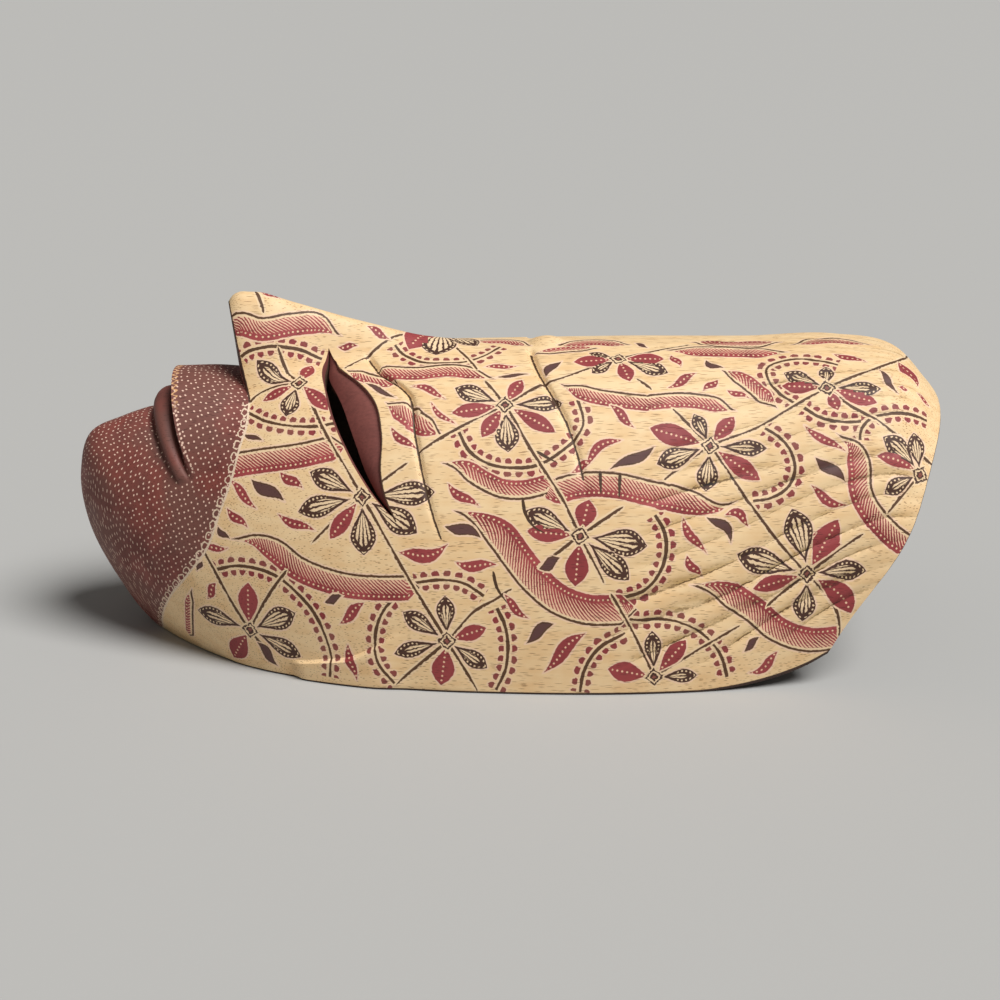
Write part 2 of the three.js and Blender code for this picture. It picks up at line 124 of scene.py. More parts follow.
@dataclass
class MaskForm:
    """The carved form of the mask: its smooth ribs and what is cut into them, in millimetres."""

    wall: float = 8.0
    chin_wall: float = 12.0
    widest_x: float = 20.0
    widest_half: float = 69.0
    chin_tip_x: float = -135.0
    # From the chin tip to the crown edge: rim x, rim half width, rim lift, crest x, crest z, squareness
    stations: tuple = (
        (-135, 0, 0, -135, 0, 2.0),
        (-134, 5, 0, -140.5, 6.2, 2.0),
        (-130, 10.5, 0, -150, 22, 2.0),
        (-122, 20, 0, -158.5, 44, 2.0),
        (-112, 30, 0, -159.6, 62.5, 2.0),
        (-104, 37, 0, -155.4, 76, 2.0),
        (-97.5, 42.5, 0, -143.2, 81.9, 2.05),
        (-88.5, 48, 0, -125, 88, 2.1),
        (-76.5, 53.5, 0, -104, 98.5, 2.1),
        (-59, 59.5, 0, -75.5, 106.5, 2.1),
        (-34, 65, 0, -39, 110, 2.1),
        (-1.5, 68, 0, 2.5, 111, 2.1),
        (38, 69, 0, 48, 111.5, 2.15),
        (73, 66.5, 0.2, 92.5, 111.5, 2.2),
        (95, 63.5, 3.5, 125, 111.8, 2.4),
        (107.5, 61.8, 7.7, 146.5, 107.5, 2.55),
        (116, 60.4, 12.2, 159.6, 94, 2.7),
    )
    # How far the crown edge bows out halfway up its sides, and how far back the bow reaches
    crown_bow: float = 4.0
    bow_reach: float = 60.0
    # Lines carved across the mask, as (degrees down from the crest, s)
    mouth_points: tuple = ((0, 121.4), (9, 121.3), (18, 120.4), (27, 119.3), (35, 118.8), (41, 118.8))
    nose_base_line: tuple = ((0, 146), (10, 147.7), (22, 149.7), (33, 146.5), (41, 141), (60, 128), (90, 108))
    brow_line: tuple = (
        (0, 195), (9, 195.2), (13, 197.2), (17, 199.6), (22.5, 206.8), (26, 210.2), (30, 211.5),
        (36, 212), (43, 213.7), (50, 215.9), (57, 219.2), (62, 222.5), (90, 230),
    )
    hair_line: tuple = (
        (0, 253.5), (9, 254.6), (16, 256.5), (22, 259.5), (27, 262.7), (35, 268), (45, 273.2), (60, 279),
        (90, 286),
    )
    # Low carved ledge below the temple, as (s, degrees down from the crest)
    ledge_line: tuple = (
        (0, 85), (120, 86), (146, 86.3), (163, 85.5), (178, 84.5), (187, 83), (205, 79), (225, 81), (250, 85),
    )
    # Height of the nose's ridge over the smooth face, as (way along from its base, height)
    nose_ridge: tuple = (
        (0, 27), (1.2, 28.6), (2.5, 29.3), (7, 27.9), (10, 26.5), (14, 24), (20, 20.6), (27, 17.3),
        (38, 12.7), (53, 7.6), (66, 3.5), (80, 1), (92, 0),
    )
    nose_lean: float = 4.0
    nose_lean_reach: float = 25.0
    nose_half_at_base: float = 19.0
    nose_half_at_bridge: float = 11.0
    bridge_at: float = 38.0
    nose_foot: float = 0.7
    mouth_corner: float = 41.0
    lower_lip_foot: float = 110.4
    lower_lip_foot_rise: float = 3.5
    lower_lip_height: float = 5.8
    upper_lip_face: float = 2.6
    upper_lip_height: float = 10.5
    upper_lip_reach: float = 14.0
    philtrum_height: float = -1.5
    chin_groove_depth: float = 1.6
    chin_groove_back: float = 1.4
    chin_groove_half: float = 2.0
    brow_groove_depth: float = 1.8
    hair_groove_depth: float = 1.6
    groove_half: float = 2.2
    # Each line fades out toward the crest and down the side, at these degrees from the crest
    brow_groove_ends: tuple[float, float] = (6.5, 64.0)
    hair_groove_ends: tuple[float, float] = (4.5, 56.0)
    groove_fade: float = 4.0
    # Locks of hair. They start and end over a length, are shallow near the crest, and stop at the ledge
    lock_pitch: float = 6.0
    lock_depth: float = 1.0
    lock_start: float = 286.0
    lock_start_reach: float = 16.0
    lock_end_reach: float = 40.0
    lock_scatter: float = 9.0
    lock_sharpness: float = 3.0
    lock_tilt: float = 0.17
    lock_wander: float = 0.6
    # The tilt is nil this far before the crown, and the locks would fade out only this far past it
    lock_level: float = 60.0
    lock_past_crown: float = 12.0
    lock_crest_share: float = 0.45
    lock_full_rows: tuple[float, float] = (30.0, 60.0)
    lock_last_rows: tuple[float, float] = (80.0, 86.0)
    knob_at: float = 260.5
    knob_height: float = 2.1
    knob_radius: float = 7.0
    ledge_height: float = 1.6
    ledge_foot: float = 0.6
    # Where the ledge starts and ends, as s, and over what length each
    ledge_start: tuple[float, float] = (140.0, 8.0)
    ledge_end: tuple[float, float] = (208.0, 22.0)
    # The row that follows the ledge
    last_row: float = 84.0
    # Past this angle a point is on the rim
    rim_from: float = 89.9
    # Over what length the hollow leaves the rim at the chin, and turns to lie along the crown edge
    tip_reach: float = 12.0
    crown_turn: float = 30.0
    # The hollow behind the nose: from x to x, half width and height
    nose_hollow: tuple[float, float, float, float] = (-98.0, -52.0, 13.0, 11.0)

    def __post_init__(self) -> None:
        """Fits the curves through the stations and lines."""
        rows = np.array(self.stations, float)
        steps = np.hypot(np.diff(rows[:, 3]), np.diff(rows[:, 4]))
        knots = np.concatenate([[0.0], np.cumsum(steps)])
        self.length = float(knots[-1])
        self.station = SmoothCurve(list(knots), list(rows))
        self.mouth = line_through(self.mouth_points)
        self.nose_base = line_through(self.nose_base_line)
        self.brow = line_through(self.brow_line)
        self.hair = line_through(self.hair_line)
        self.ledge = line_through(self.ledge_line)
        self.ridge = line_through(self.nose_ridge)

    @staticmethod
    def rib(rim_x: Array, rim_z: Array, crest_x: Array, crest_z: Array, half: Array, square: Array,
            bow: Array, angle: Array) -> Array:
        """Points on ribs that stand on the rim and peak on the crest.

        Args:
            rim_x, rim_z: the foot of each rib.
            crest_x, crest_z: the top of each rib.
            half: half the width of each rib.
            square: 2 for an ellipse, more for fuller shoulders.
            bow: how far each rib bows toward the crown halfway up.
            angle: degrees from the crest, with its side's sign.

        Returns:
            Points, three numbers each.
        """
        turn = np.radians(angle)
        power = 2 / square
        rise = np.maximum(0.0, np.cos(turn)) ** power
        across = np.sign(angle) * half * np.abs(np.sin(turn)) ** power
        along = mix(rim_x, crest_x, rise) + bow * (4 * rise * (1 - rise)) ** 4
        return np.stack([along, across, mix(rim_z, crest_z, rise)], axis=-1)

    def bow(self, s: Array) -> Array:
        """How far the rib at s bows toward the crown."""
        return self.crown_bow * ease((s - self.length + self.bow_reach) / self.bow_reach)

    def smooth(self, s: Array, angle: Array) -> Array:
        """The face before anything is carved in it, as points in millimetres."""
        rim_x, half, rim_z, crest_x, crest_z, square = np.moveaxis(self.station.rows_at(s), -1, 0)
        return self.rib(rim_x, np.maximum(0.0, rim_z), crest_x, crest_z, half, square, self.bow(s), angle)

    def outward(self, face: Callable[[Array, Array], Array], s: Array, angle: Array) -> Array:
        """Finds which way a face looks.

        Args:
            face: the method that gives the face's points.
            s, angle: places on the mask.

        Returns:
            The outward direction at each place.
        """
        step = 0.5
        inside = np.clip(s, 3 * step, self.length - step)
        held = np.clip(angle, -89.0, 89.0)
        along = face(inside + step, held) - face(inside - step, held)
        round_it = face(inside, held + step) - face(inside, held - step)
        return unit(np.cross(along, round_it))

    def normal(self, s: Array, angle: Array) -> Array:
        """Outward direction of the smooth face."""
        return self.outward(self.smooth, s, angle)

    def carved_normal(self, s: Array, angle: Array) -> Array:
        """Outward direction of the carved face."""
        return self.outward(self.carved, s, angle)

    def lip_foot(self, down: Array) -> Array:
        """Where the lower lip meets the chin."""
        return self.lower_lip_foot + self.lower_lip_foot_rise * np.minimum(1.0, down / self.mouth_corner) ** 2

    def mouth_relief(self, s: Array, down: Array) -> Array:
        """Carves the lips and the groove below them.

        Args:
            s, down: places, each with its degrees from the crest.

        Returns:
            How far they stand out from the smooth face.
        """
        to_corner = clamp01(1 - (down / self.mouth_corner) ** 2)
        foot = self.lip_foot(down)
        mouth = self.mouth.at(down)
        base = self.nose_base.at(down)
        in_groove = clamp01(1 - np.abs(s - foot + self.chin_groove_back) / self.chin_groove_half)
        groove = -self.chin_groove_depth * to_corner * in_groove
        t = clamp01((s - foot) / (mouth - foot))
        lower = self.lower_lip_height * np.sqrt(to_corner) * np.sqrt(4 * t * (1 - t)) * (1 - 0.2 * t)
        face = ease((s - mouth) / self.upper_lip_face)
        along = clamp01((base - s) / (base - mouth - self.upper_lip_face))
        beyond = ease(clamp01(1 - (s - base) / self.upper_lip_reach))
        upper = to_corner * face * beyond * mix(self.philtrum_height, self.upper_lip_height, along)
        out = np.where(s <= foot, groove, np.where(s <= mouth, lower, upper))
        return np.where(to_corner == 0, 0.0, out)

    def nose_relief(self, s: Array, down: Array, across: Array) -> Array:
        """Raises the nose, whose underside is a wall that stands on the nose's foot.

        Args:
            s, down: places, each with its degrees from the crest.
            across: how far each place lies from the middle.

        Returns:
            How far the nose lifts the face.
        """
        way = s - self.nose_base.at(down)
        half = mix(self.nose_half_at_base, self.nose_half_at_bridge, ease(way / self.bridge_at))
        t = np.abs(across) / half
        under = clamp01(1 + (way + 0.01) / self.nose_foot)
        return np.where(t >= 1, 0.0, under * self.ridge.at(way) * (1 - t * t) ** 2)

    def groove(self, s: Array, line: Array, depth: float, down: Array, ends: tuple[float, float]) -> Array:
        """Cuts a soft V groove along a line.

        Args:
            s, down: places, each with its degrees from the crest.
            line: s of the line at each place.
            depth: how deep the groove is.
            ends: degrees from the crest at which it fades out.

        Returns:
            How far the groove lowers the face, as a negative height.
        """
        fade = clamp01(1 - (down / ends[1]) ** 2) * ease((down - ends[0]) / self.groove_fade)
        near = clamp01(1 - np.abs(s - line) / self.groove_half)
        return -depth * fade * near * near * (3 - 2 * near)

    def angle_to_row(self, down: Array, s: Array) -> Array:
        """Finds the row that an angle lies on. Rows bend so that one of them follows the ledge.

        Args:
            down, s: places, each with its degrees from the crest.

        Returns:
            The row of each place.
        """
        ledge = self.ledge.at(s)
        above = down / ledge * self.last_row
        below = mix(self.last_row, 90.0, (down - ledge) / (90 - ledge))
        return np.where(down <= ledge, above, below)

    def row_to_angle(self, row: Array, s: Array) -> Array:
        """Finds the angle that a row lies at.

        Args:
            row, s: the row of each place, and its s.

        Returns:
            Degrees from the crest.
        """
        ledge = self.ledge.at(s)
        below = mix(ledge, 90.0, (row - self.last_row) / (90 - self.last_row))
        return np.where(row <= self.last_row, row / self.last_row * ledge, below)

    def locks(self, s: Array, down: Array) -> tuple[Array, Array]:
        """The locks of hair at each place.

        Args:
            s, down: the place, and its degrees from the crest.

        Returns:
            The lock's number, with a groove halfway to the next, and how deep that is cut, from 0 to 1.
        """
        row = self.angle_to_row(down, s)
        tilted = row + self.lock_tilt * (s - self.length + self.lock_level)
        number = (tilted + self.lock_wander * np.sin(s / 19 + 0.8 * tilted)) / self.lock_pitch
        start = ease((s - self.lock_start - self.lock_scatter * np.sin(tilted)) / self.lock_start_reach)
        end = ease((self.length + self.lock_past_crown - s) / self.lock_end_reach)
        uneven = 0.7 + 0.3 * np.sin(1.7 * tilted + s / 23)
        low, full = self.lock_full_rows
        last, none = self.lock_last_rows
        from_crest = mix(self.lock_crest_share, 1.0, ease((row - low) / (full - low)))
        return number, start * end * uneven * from_crest * ease((none - row) / (none - last))

    def lock_cut(self, s: Array, down: Array) -> Array:
        """How deep the grooves between the locks of hair are cut, from 0 to 1."""
        number, weight = self.locks(s, down)
        return weight * (0.5 - 0.5 * np.cos(2 * np.pi * number)) ** self.lock_sharpness

    def carved(self, s: Array, angle: Array) -> Array:
        """The finished outer face, with all its carving.

        Args:
            s, angle: places on the mask.

        Returns:
            Points, in millimetres.
        """
        point = self.smooth(s, angle)
        down = np.abs(angle)
        across = point[..., 1]
        knob = ((s - self.knob_at) / self.knob_radius) ** 2 + (across / self.knob_radius) ** 2
        (start, start_reach), (end, end_reach) = self.ledge_start, self.ledge_end
        ledge_ends = ease((s - start) / start_reach) * ease((end - s) / end_reach)
        out = (
            self.mouth_relief(s, down)
            + self.groove(s, self.brow.at(down), self.brow_groove_depth, down, self.brow_groove_ends)
            + self.groove(s, self.hair.at(down), self.hair_groove_depth, down, self.hair_groove_ends)
            - self.lock_depth * self.lock_cut(s, down)
            + self.knob_height * clamp01(1 - knob)
            + self.ledge_height * ledge_ends * ease((down - self.ledge.at(s)) / self.ledge_foot)
        )
        push = self.normal(s, angle) * out[..., None]
        push[..., 2] = np.where(down > self.rim_from, 0.0, push[..., 2])
        point = point + push
        lift = self.nose_relief(s, down, across)
        lean = clamp01(1 - (s - self.nose_base.at(down)) / self.nose_lean_reach) ** 2
        point[..., 0] -= self.nose_lean * lift / self.ridge.at(0.0) * lean
        point[..., 2] += lift
        return point

    def hollow(self, s: Array, angle: Array) -> Array:
        """The inside: the same ribs, smaller, so that the rim and the crown edge stay flat.

        Args:
            s, angle: places on the mask.

        Returns:
            Points, in millimetres.
        """
        rim_x, half, rim_z, crest_x, crest_z, square = np.moveaxis(self.station.rows_at(s), -1, 0)
        ahead = self.station.rows_at(s + 0.5) - self.station.rows_at(s - 0.5)
        chin_way = clamp01((self.widest_x - rim_x) / (self.widest_x - self.chin_tip_x))
        inward = unit(np.stack([ahead[..., 4], -ahead[..., 3]], axis=-1))
        edge = unit(np.stack([rim_x - crest_x, rim_z - crest_z], axis=-1))
        near_crown = ease((s - self.length + self.crown_turn) / self.crown_turn)
        inward = unit(mix(inward, edge, near_crown[..., None]))
        from_tip = ease(s / self.tip_reach)
        crest_x = mix(self.chin_tip_x + self.chin_wall, crest_x + inward[..., 0] * self.wall, from_tip)
        crest_z = mix(0.0, crest_z + inward[..., 1] * self.wall, from_tip)
        rim_x = rim_x + chin_way * self.chin_wall
        half = half * (1 - self.wall / self.widest_half)
        point = self.rib(rim_x, np.maximum(0.0, rim_z), crest_x, crest_z, half, square, self.bow(s), angle)
        nose_from, nose_to, nose_half, nose_height = self.nose_hollow
        lengthwise = (2 * point[..., 0] - nose_from - nose_to) / (nose_to - nose_from)
        in_nose = clamp01(1 - lengthwise ** 2) * clamp01(1 - (point[..., 1] / nose_half) ** 2)
        point[..., 2] += nose_height * in_nose * in_nose
        return point


@dataclass
class EyeLeaf:
    """The leaf-shaped eye below the brow, whose floor falls to a slit pierced along the cheek edge."""

    inner_angle: float = 6.8
    outer_angle: float = 57.5
    # s of each edge, from the inner corner (0) to the outer corner (1)
    brow_edge_points: tuple = (
        (0, 180.3), (0.04, 182.3), (0.15, 184.6), (0.24, 189.6), (0.34, 194.6), (0.43, 197.8),
        (0.54, 199.2), (0.64, 199.6), (0.78, 198.6), (0.87, 199.5), (0.94, 201.3), (1, 204),
    )
    cheek_edge_points: tuple = (
        (0, 180.3), (0.08, 178.6), (0.18, 178), (0.29, 178.8), (0.48, 180.8), (0.63, 184.2),
        (0.79, 189.9), (0.9, 195.8), (1, 204),
    )
    step: float = 1.3
    floor_depth: float = 6.0
    slit_share: float = 0.3
    # How far in each edge starts and the cheek edge ends, how the floor falls, and how the slit widens
    brow_start: float = 0.03
    cheek_ends: tuple[float, float] = (0.01, 0.02)
    brow_fall: float = 1.6
    slit_flare: float = 0.06
    floor_steps: int = 9

    def __post_init__(self) -> None:
        """Fits the curves of the two edges."""
        self.brow_edge = line_through(self.brow_edge_points)
        self.cheek_edge = line_through(self.cheek_edge_points)

    def spot(self, at: Array, side: int, brow_inset: float, cheek_inset: float) -> tuple[Array, Array, Array]:
        """Places on a ring of the leaf.

        Args:
            at: how far round the ring, from the inner corner along the brow edge and back.
            side: -1 for the mask's left eye, 1 for its right.
            brow_inset, cheek_inset: how far each edge is drawn in toward the other.

        Returns:
            s, angle and the share of the way from the inner corner to the outer.
        """
        on_brow = at <= 0.5
        k = np.where(on_brow, at * 2, 2 - at * 2)
        share = np.where(on_brow, brow_inset, 1 - cheek_inset)
        down = mix(self.inner_angle, self.outer_angle, k)
        return mix(self.brow_edge.at(k), self.cheek_edge.at(k), share), side * down, k


class Skin(Enum):
    """Material slots of the shell, in order."""

    BATIK = 0
    EYE = 1
    EDGE = 2
    HOLLOW = 3


class ShellMesh:
    """Grows the shell's mesh from shared points, each with its place on the mask."""

    def __init__(self) -> None:
        """Starts with no points."""
        self.blocks: list[Array] = []
        self.places: list[Array] = []
        self.count = 0
        self.faces: list[tuple[int, ...]] = []
        self.skins: list[int] = []

    def add(self, points: Array, s: Array, angle: Array) -> Array:
        """Adds points.

        Args:
            points: positions in millimetres.
            s, angle: the place of each point on the mask.

        Returns:
            The index of each point.
        """
        flat = points.reshape(-1, 3)
        self.blocks.append(flat)
        self.places.append(np.stack([np.broadcast_to(s, points.shape[:-1]).ravel(),
                                     np.broadcast_to(angle, points.shape[:-1]).ravel()], axis=-1))
        index = np.arange(self.count, self.count + len(flat)).reshape(points.shape[:-1])
        self.count += len(flat)
        return index

    def face(self, corners: tuple[int, ...], skin: Skin) -> None:
        """Adds one face, leaving out corners that repeat.

        Args:
            corners: the points' indices, in order.
            skin: the face's material.
        """
        kept = [c for i, c in enumerate(corners) if c != corners[i - 1]]
        if len(kept) > 2:
            self.faces.append(tuple(kept))
            self.skins.append(skin.value)

    def zip(self, first: tuple[Array, Array], second: tuple[Array, Array], skin: Skin) -> None:
        """Joins two closed rings of points.

        Args:
            first, second: the points' indices and how far round the ring each lies, rising from 0 to 1.
            skin: the material of the faces between them.
        """
        near = np.append(first[0], first[0][0])
        near_at = np.append(first[1], 1.0)
        far = np.append(second[0], second[0][0])
        far_at = np.append(second[1], 1.0)
        i = j = 0
        while i < len(near) - 1 or j < len(far) - 1:
            next_near = near_at[i + 1] if i < len(near) - 1 else math.inf
            next_far = far_at[j + 1] if j < len(far) - 1 else math.inf
            if abs(next_near - next_far) < 1e-6:
                corners = (near[i], far[j], far[j + 1], near[i + 1])
                i, j = i + 1, j + 1
            elif next_near < next_far:
                corners = (near[i], far[j], near[i + 1])
                i += 1
            else:
                corners = (near[i], far[j], far[j + 1])
                j += 1
            self.face(corners, skin)

    def points(self) -> Array:
        """All points, in millimetres."""
        return np.vstack(self.blocks)


@dataclass
class MaskGrid:
    """A grid of points over the mask with a window left out on each side for the eye."""

    mesh: ShellMesh
    s: Array
    angle: Array
    points: Array
    window: tuple[int, int, int, int]
    skin: Skin
    turned: bool

    def __post_init__(self) -> None:
        """Adds the points and faces to the mesh. All rows start from the one point at the chin."""
        self.index = self.mesh.add(self.points, self.s, self.angle)
        self.index[:, 0] = self.index[0, 0]
        self.rows, self.columns = self.s.shape
        self.middle = (self.rows - 1) // 2
        low_row, high_row, low_column, high_column = self.window
        for row in range(self.rows - 1):
            out = self.middle - row - 1 if row < self.middle else row - self.middle
            open_row = low_row <= out < high_row
            here, there = self.index[row], self.index[row + 1]
            for column in range(self.columns - 1):
                if open_row and low_column <= column < high_column:
                    continue
                corners = (here[column], here[column + 1], there[column + 1], there[column])
                self.mesh.face(corners[::-1] if self.turned else corners, self.skin)

    def around(self, values: Array) -> Array:
        """Values on the outer ring: left rim, crown edge, and the right rim back to the chin."""
        return np.concatenate([values[0, :-1], values[:-1, -1], values[-1, :0:-1]])

    def boundary(self) -> tuple[Array, Array]:
        """The outer ring.

        Returns:
            The index of each of its points, and how far round the ring it lies.
        """
        length = self.s[0, -1]
        over = (self.angle[:-1, -1] - self.angle[0, -1]) / (self.angle[-1, -1] - self.angle[0, -1])
        shares = [self.s[0, :-1] / length / 3, (1 + over) / 3, (3 - self.s[-1, :0:-1] / length) / 3]
        return self.around(self.index), np.concatenate(shares)

    def window_ring(self, side: int) -> tuple[Array, Array, Array, Array]:
        """The ring round the window on one side, from its crest end along the brow edge first.

        Args:
            side: -1 for the mask's left eye, 1 for its right.

        Returns:
            Index, how far round the ring, s and angle of each point.
        """
        low_row, high_row, low_column, high_column = self.window
        start = round((low_column + high_column) / 2)
        spots = [(low_row, c) for c in range(start, high_column)]
        spots += [(r, high_column) for r in range(low_row, high_row)]
        spots += [(high_row, c) for c in range(high_column, low_column, -1)]
        spots += [(r, low_column) for r in range(high_row, low_row, -1)]
        spots += [(low_row, c) for c in range(low_column, start)]
        turn = spots.index((high_row, high_column - max(1, (high_column - low_column) // 8)))
        rows = np.array([self.middle + side * r for r, _ in spots])
        columns = np.array([c for _, c in spots])
        i = np.arange(len(spots))
        at = np.where(i <= turn, i / turn / 2, 0.5 + (i - turn) / (len(spots) - turn) / 2)
        return self.index[rows, columns], at, self.s[rows, columns], self.angle[rows, columns]


@dataclass
class CarvedShell:
    """The whole mask as one fine closed mesh."""

    form: MaskForm = field(default_factory=MaskForm)
    eye: EyeLeaf = field(default_factory=EyeLeaf)
    rows_per_side: int = 108
    inner_rows_per_side: int = 30
    inner_columns: int = 96
    # Rows past the ledge, in degrees, and how far short of the rim the last one on the face stops
    ledge_rows: tuple = (0.35, 0.7, 1.5, 2.3, 3.1, 3.9, 4.7, 5.4)
    rim_gap: float = 0.35
    # The window left for each eye in the face and in the hollow: rows from the crest, and where in s
    face_window: tuple[int, int, float] = (6, 76, 161.0)
    hollow_window: tuple[int, int, float, float] = (2, 23, 152.0, 214.0)
    eye_rings: int = 16
    ring_crowding: float = 1.3
    edge_round: float = 0.5
    sharp_angle: float = 40.0

    def grid_lines(self, down: Array) -> list[tuple[Array, int]]:
        """Lays the lines of the grid that cross the mask.

        Args:
            down: each row's degrees from the crest.

        Returns:
            s of each line at those rows, in order, and the steps from each line to the next.
        """
        form = self.form
        foot = form.lip_foot(down)
        mouth = form.mouth.at(down)
        base = form.nose_base.at(down)
        brow = form.brow.at(down)
        hair = form.hair.at(down)
        half = form.groove_half
        shrink = np.where(down <= form.mouth_corner, 1.0, base / form.nose_base.at(form.mouth_corner))
        return [
            (0 * down, 78),
            ((foot - 3.2) * shrink, 5),
            (foot * shrink, 9),
            (mouth * shrink, 4),
            ((mouth + form.upper_lip_face) * shrink, 17),
            (base - form.nose_foot, 8),
            (base, 3),
            (base + 2.5, 36),
            (brow - half, 8),
            (brow + half, 28),
            (hair - half, 8),
            (hair + half, 110),
            (form.length - self.edge_round + 0 * down, 0),
        ]

    def columns_at(self, down: Array) -> Array:
        """Lays all the columns of the grid.

        Args:
            down: each row's degrees from the crest.

        Returns:
            s of every column, rows first.
        """
        lines = self.grid_lines(down)
        parts = [
            mix(here[:, None], there[:, None], np.arange(steps) / steps)
            for (here, steps), (there, _) in zip(lines, lines[1:])
        ]
        return np.concatenate([*parts, lines[-1][0][:, None]], axis=1)

    def outer_grid(self, mesh: ShellMesh) -> MaskGrid:
        """Makes the carved face.

        Args:
            mesh: takes its points and faces.

        Returns:
            The grid.
        """
        form = self.form
        tail = form.last_row + np.array(self.ledge_rows)
        half = np.concatenate([np.linspace(0, form.last_row, self.rows_per_side), tail, [90.0]])
        signed = np.concatenate([-half[:0:-1], half])
        down = np.abs(signed)
        s = self.columns_at(down)
        for _ in range(3):
            true_down = form.row_to_angle(down[:, None], s)
            s = np.stack([self.columns_at(true_down[:, c])[:, c] for c in range(s.shape[1])], axis=1)
        angle = np.sign(signed)[:, None] * form.row_to_angle(down[:, None], s)
        rim = down > form.rim_from
        angle = np.where(rim[:, None], np.sign(angle) * (90 - self.rim_gap), angle)
        crest = s[len(half) - 1]
        low_row, high_row, low_s = self.face_window
        low = int(np.searchsorted(crest, low_s))
        high = int(np.searchsorted(crest, form.brow.at(0.0) - form.groove_half - 0.1))
        window = (low_row, high_row, low, high)
        return MaskGrid(mesh, s, angle, form.carved(s, angle), window, Skin.BATIK, False)

    def inner_grid(self, mesh: ShellMesh) -> MaskGrid:
        """Makes the hollow.

        Args:
            mesh: takes its points and faces.

        Returns:
            The grid.
        """
        rows = np.linspace(-90, 90, 2 * self.inner_rows_per_side + 1)
        columns = np.linspace(0, self.form.length, self.inner_columns + 1)
        s, angle = np.broadcast_arrays(columns[None, :], rows[:, None])
        low_row, high_row, low_s, high_s = self.hollow_window
        low, high = np.searchsorted(columns, (low_s, high_s)).tolist()
        window = (low_row, high_row, low, high)
        return MaskGrid(mesh, s.copy(), angle.copy(), self.form.hollow(s, angle), window, Skin.HOLLOW, True)

    def carve_eye(self, mesh: ShellMesh, outer: MaskGrid, inner: MaskGrid, side: int) -> None:
        """Rings of one eye: from the grid's window to its edge, down its floor and out through the slit.

        Args:
            mesh: takes their points and faces.
            outer, inner: the face and the hollow, each with its window.
            side: -1 for the mask's left eye, 1 for its right.
        """
        form, eye = self.form, self.eye
        index, at, s, angle = outer.window_ring(side)
        leaf_s, leaf_angle, _ = eye.spot(at, side, 0, 0)
        rings: list[tuple[Array, Array, Skin]] = [(index, at, Skin.BATIK)]
        for share in 1 - (1 - np.arange(1, self.eye_rings + 1) / self.eye_rings) ** self.ring_crowding:
            ring_s, ring_angle = mix(s, leaf_s, share), mix(angle, leaf_angle, share)
            points = form.carved(ring_s, ring_angle)
            rings.append((mesh.add(points, ring_s, ring_angle), at, Skin.BATIK))
        slit_brow = 1 - eye.slit_share
        for i in range(eye.floor_steps):
            way = i / (eye.floor_steps - 1)
            brow_inset = mix(eye.brow_start, slit_brow, way)
            ring_s, ring_angle, k = eye.spot(at, side, brow_inset, mix(*eye.cheek_ends, way))
            corner = np.sin(np.pi * np.clip(k, 0.02, 0.98)) ** 0.5
            brow_depth = mix(eye.step, eye.floor_depth, way ** eye.brow_fall)
            cheek_depth = mix(eye.step, eye.floor_depth, way)
            depth = mix(1.0, np.where(at <= 0.5, brow_depth, cheek_depth), corner)
            points = form.carved(ring_s, ring_angle) - form.normal(ring_s, ring_angle) * depth[:, None]
            rings.append((mesh.add(points, ring_s, ring_angle), at, Skin.EYE))
        ring_s, ring_angle, _ = eye.spot(at, side, slit_brow - eye.slit_flare, 0)
        points = form.hollow(ring_s, ring_angle)
        rings.append((mesh.add(points, ring_s, ring_angle), at, Skin.HOLLOW))
        window_index, window_at, _, _ = inner.window_ring(side)
        rings.append((window_index, window_at, Skin.HOLLOW))
        for (near, near_at, _), (far, far_at, skin) in zip(rings, rings[1:]):
            pair = ((near, near_at), (far, far_at))
            mesh.zip(*(pair if side < 0 else pair[::-1]), skin)

    def close_edge(self, mesh: ShellMesh, outer: MaskGrid, inner: MaskGrid) -> None:
        """Joins the face to the hollow round the rim and the crown edge, with a softened outer corner.

        Args:
            mesh: takes the points and faces.
            outer, inner: the face and the hollow.
        """
        form = self.form
        index, at = outer.boundary()
        s, angle = outer.around(outer.s), outer.around(outer.angle)
        on_crown = (at >= 1 / 3) & (at < 2 / 3)
        edge_s = np.where(on_crown, form.length, s * form.length / (form.length - self.edge_round))
        edge_angle = np.where(on_crown, angle * 90 / (90 - self.rim_gap), np.sign(angle) * 90)
        edge = form.carved(edge_s, edge_angle)
        toward = unit(form.hollow(edge_s, edge_angle) - edge)
        ring = mesh.add(edge + toward * self.edge_round, edge_s, edge_angle)
        mesh.zip((index, at), (ring, at), Skin.EDGE)
        mesh.zip((ring, at), inner.boundary(), Skin.EDGE)

    def build(self) -> tuple[bpy.types.Object, ShellMesh]:
        """Builds the mask's mesh.

        Returns:
            The object, in metres, and the mesh data it was made from.
        """
        mesh = ShellMesh()
        outer = self.outer_grid(mesh)
        inner = self.inner_grid(mesh)
        self.close_edge(mesh, outer, inner)
        self.carve_eye(mesh, outer, inner, -1)
        self.carve_eye(mesh, outer, inner, 1)
        return self.to_object(mesh), mesh

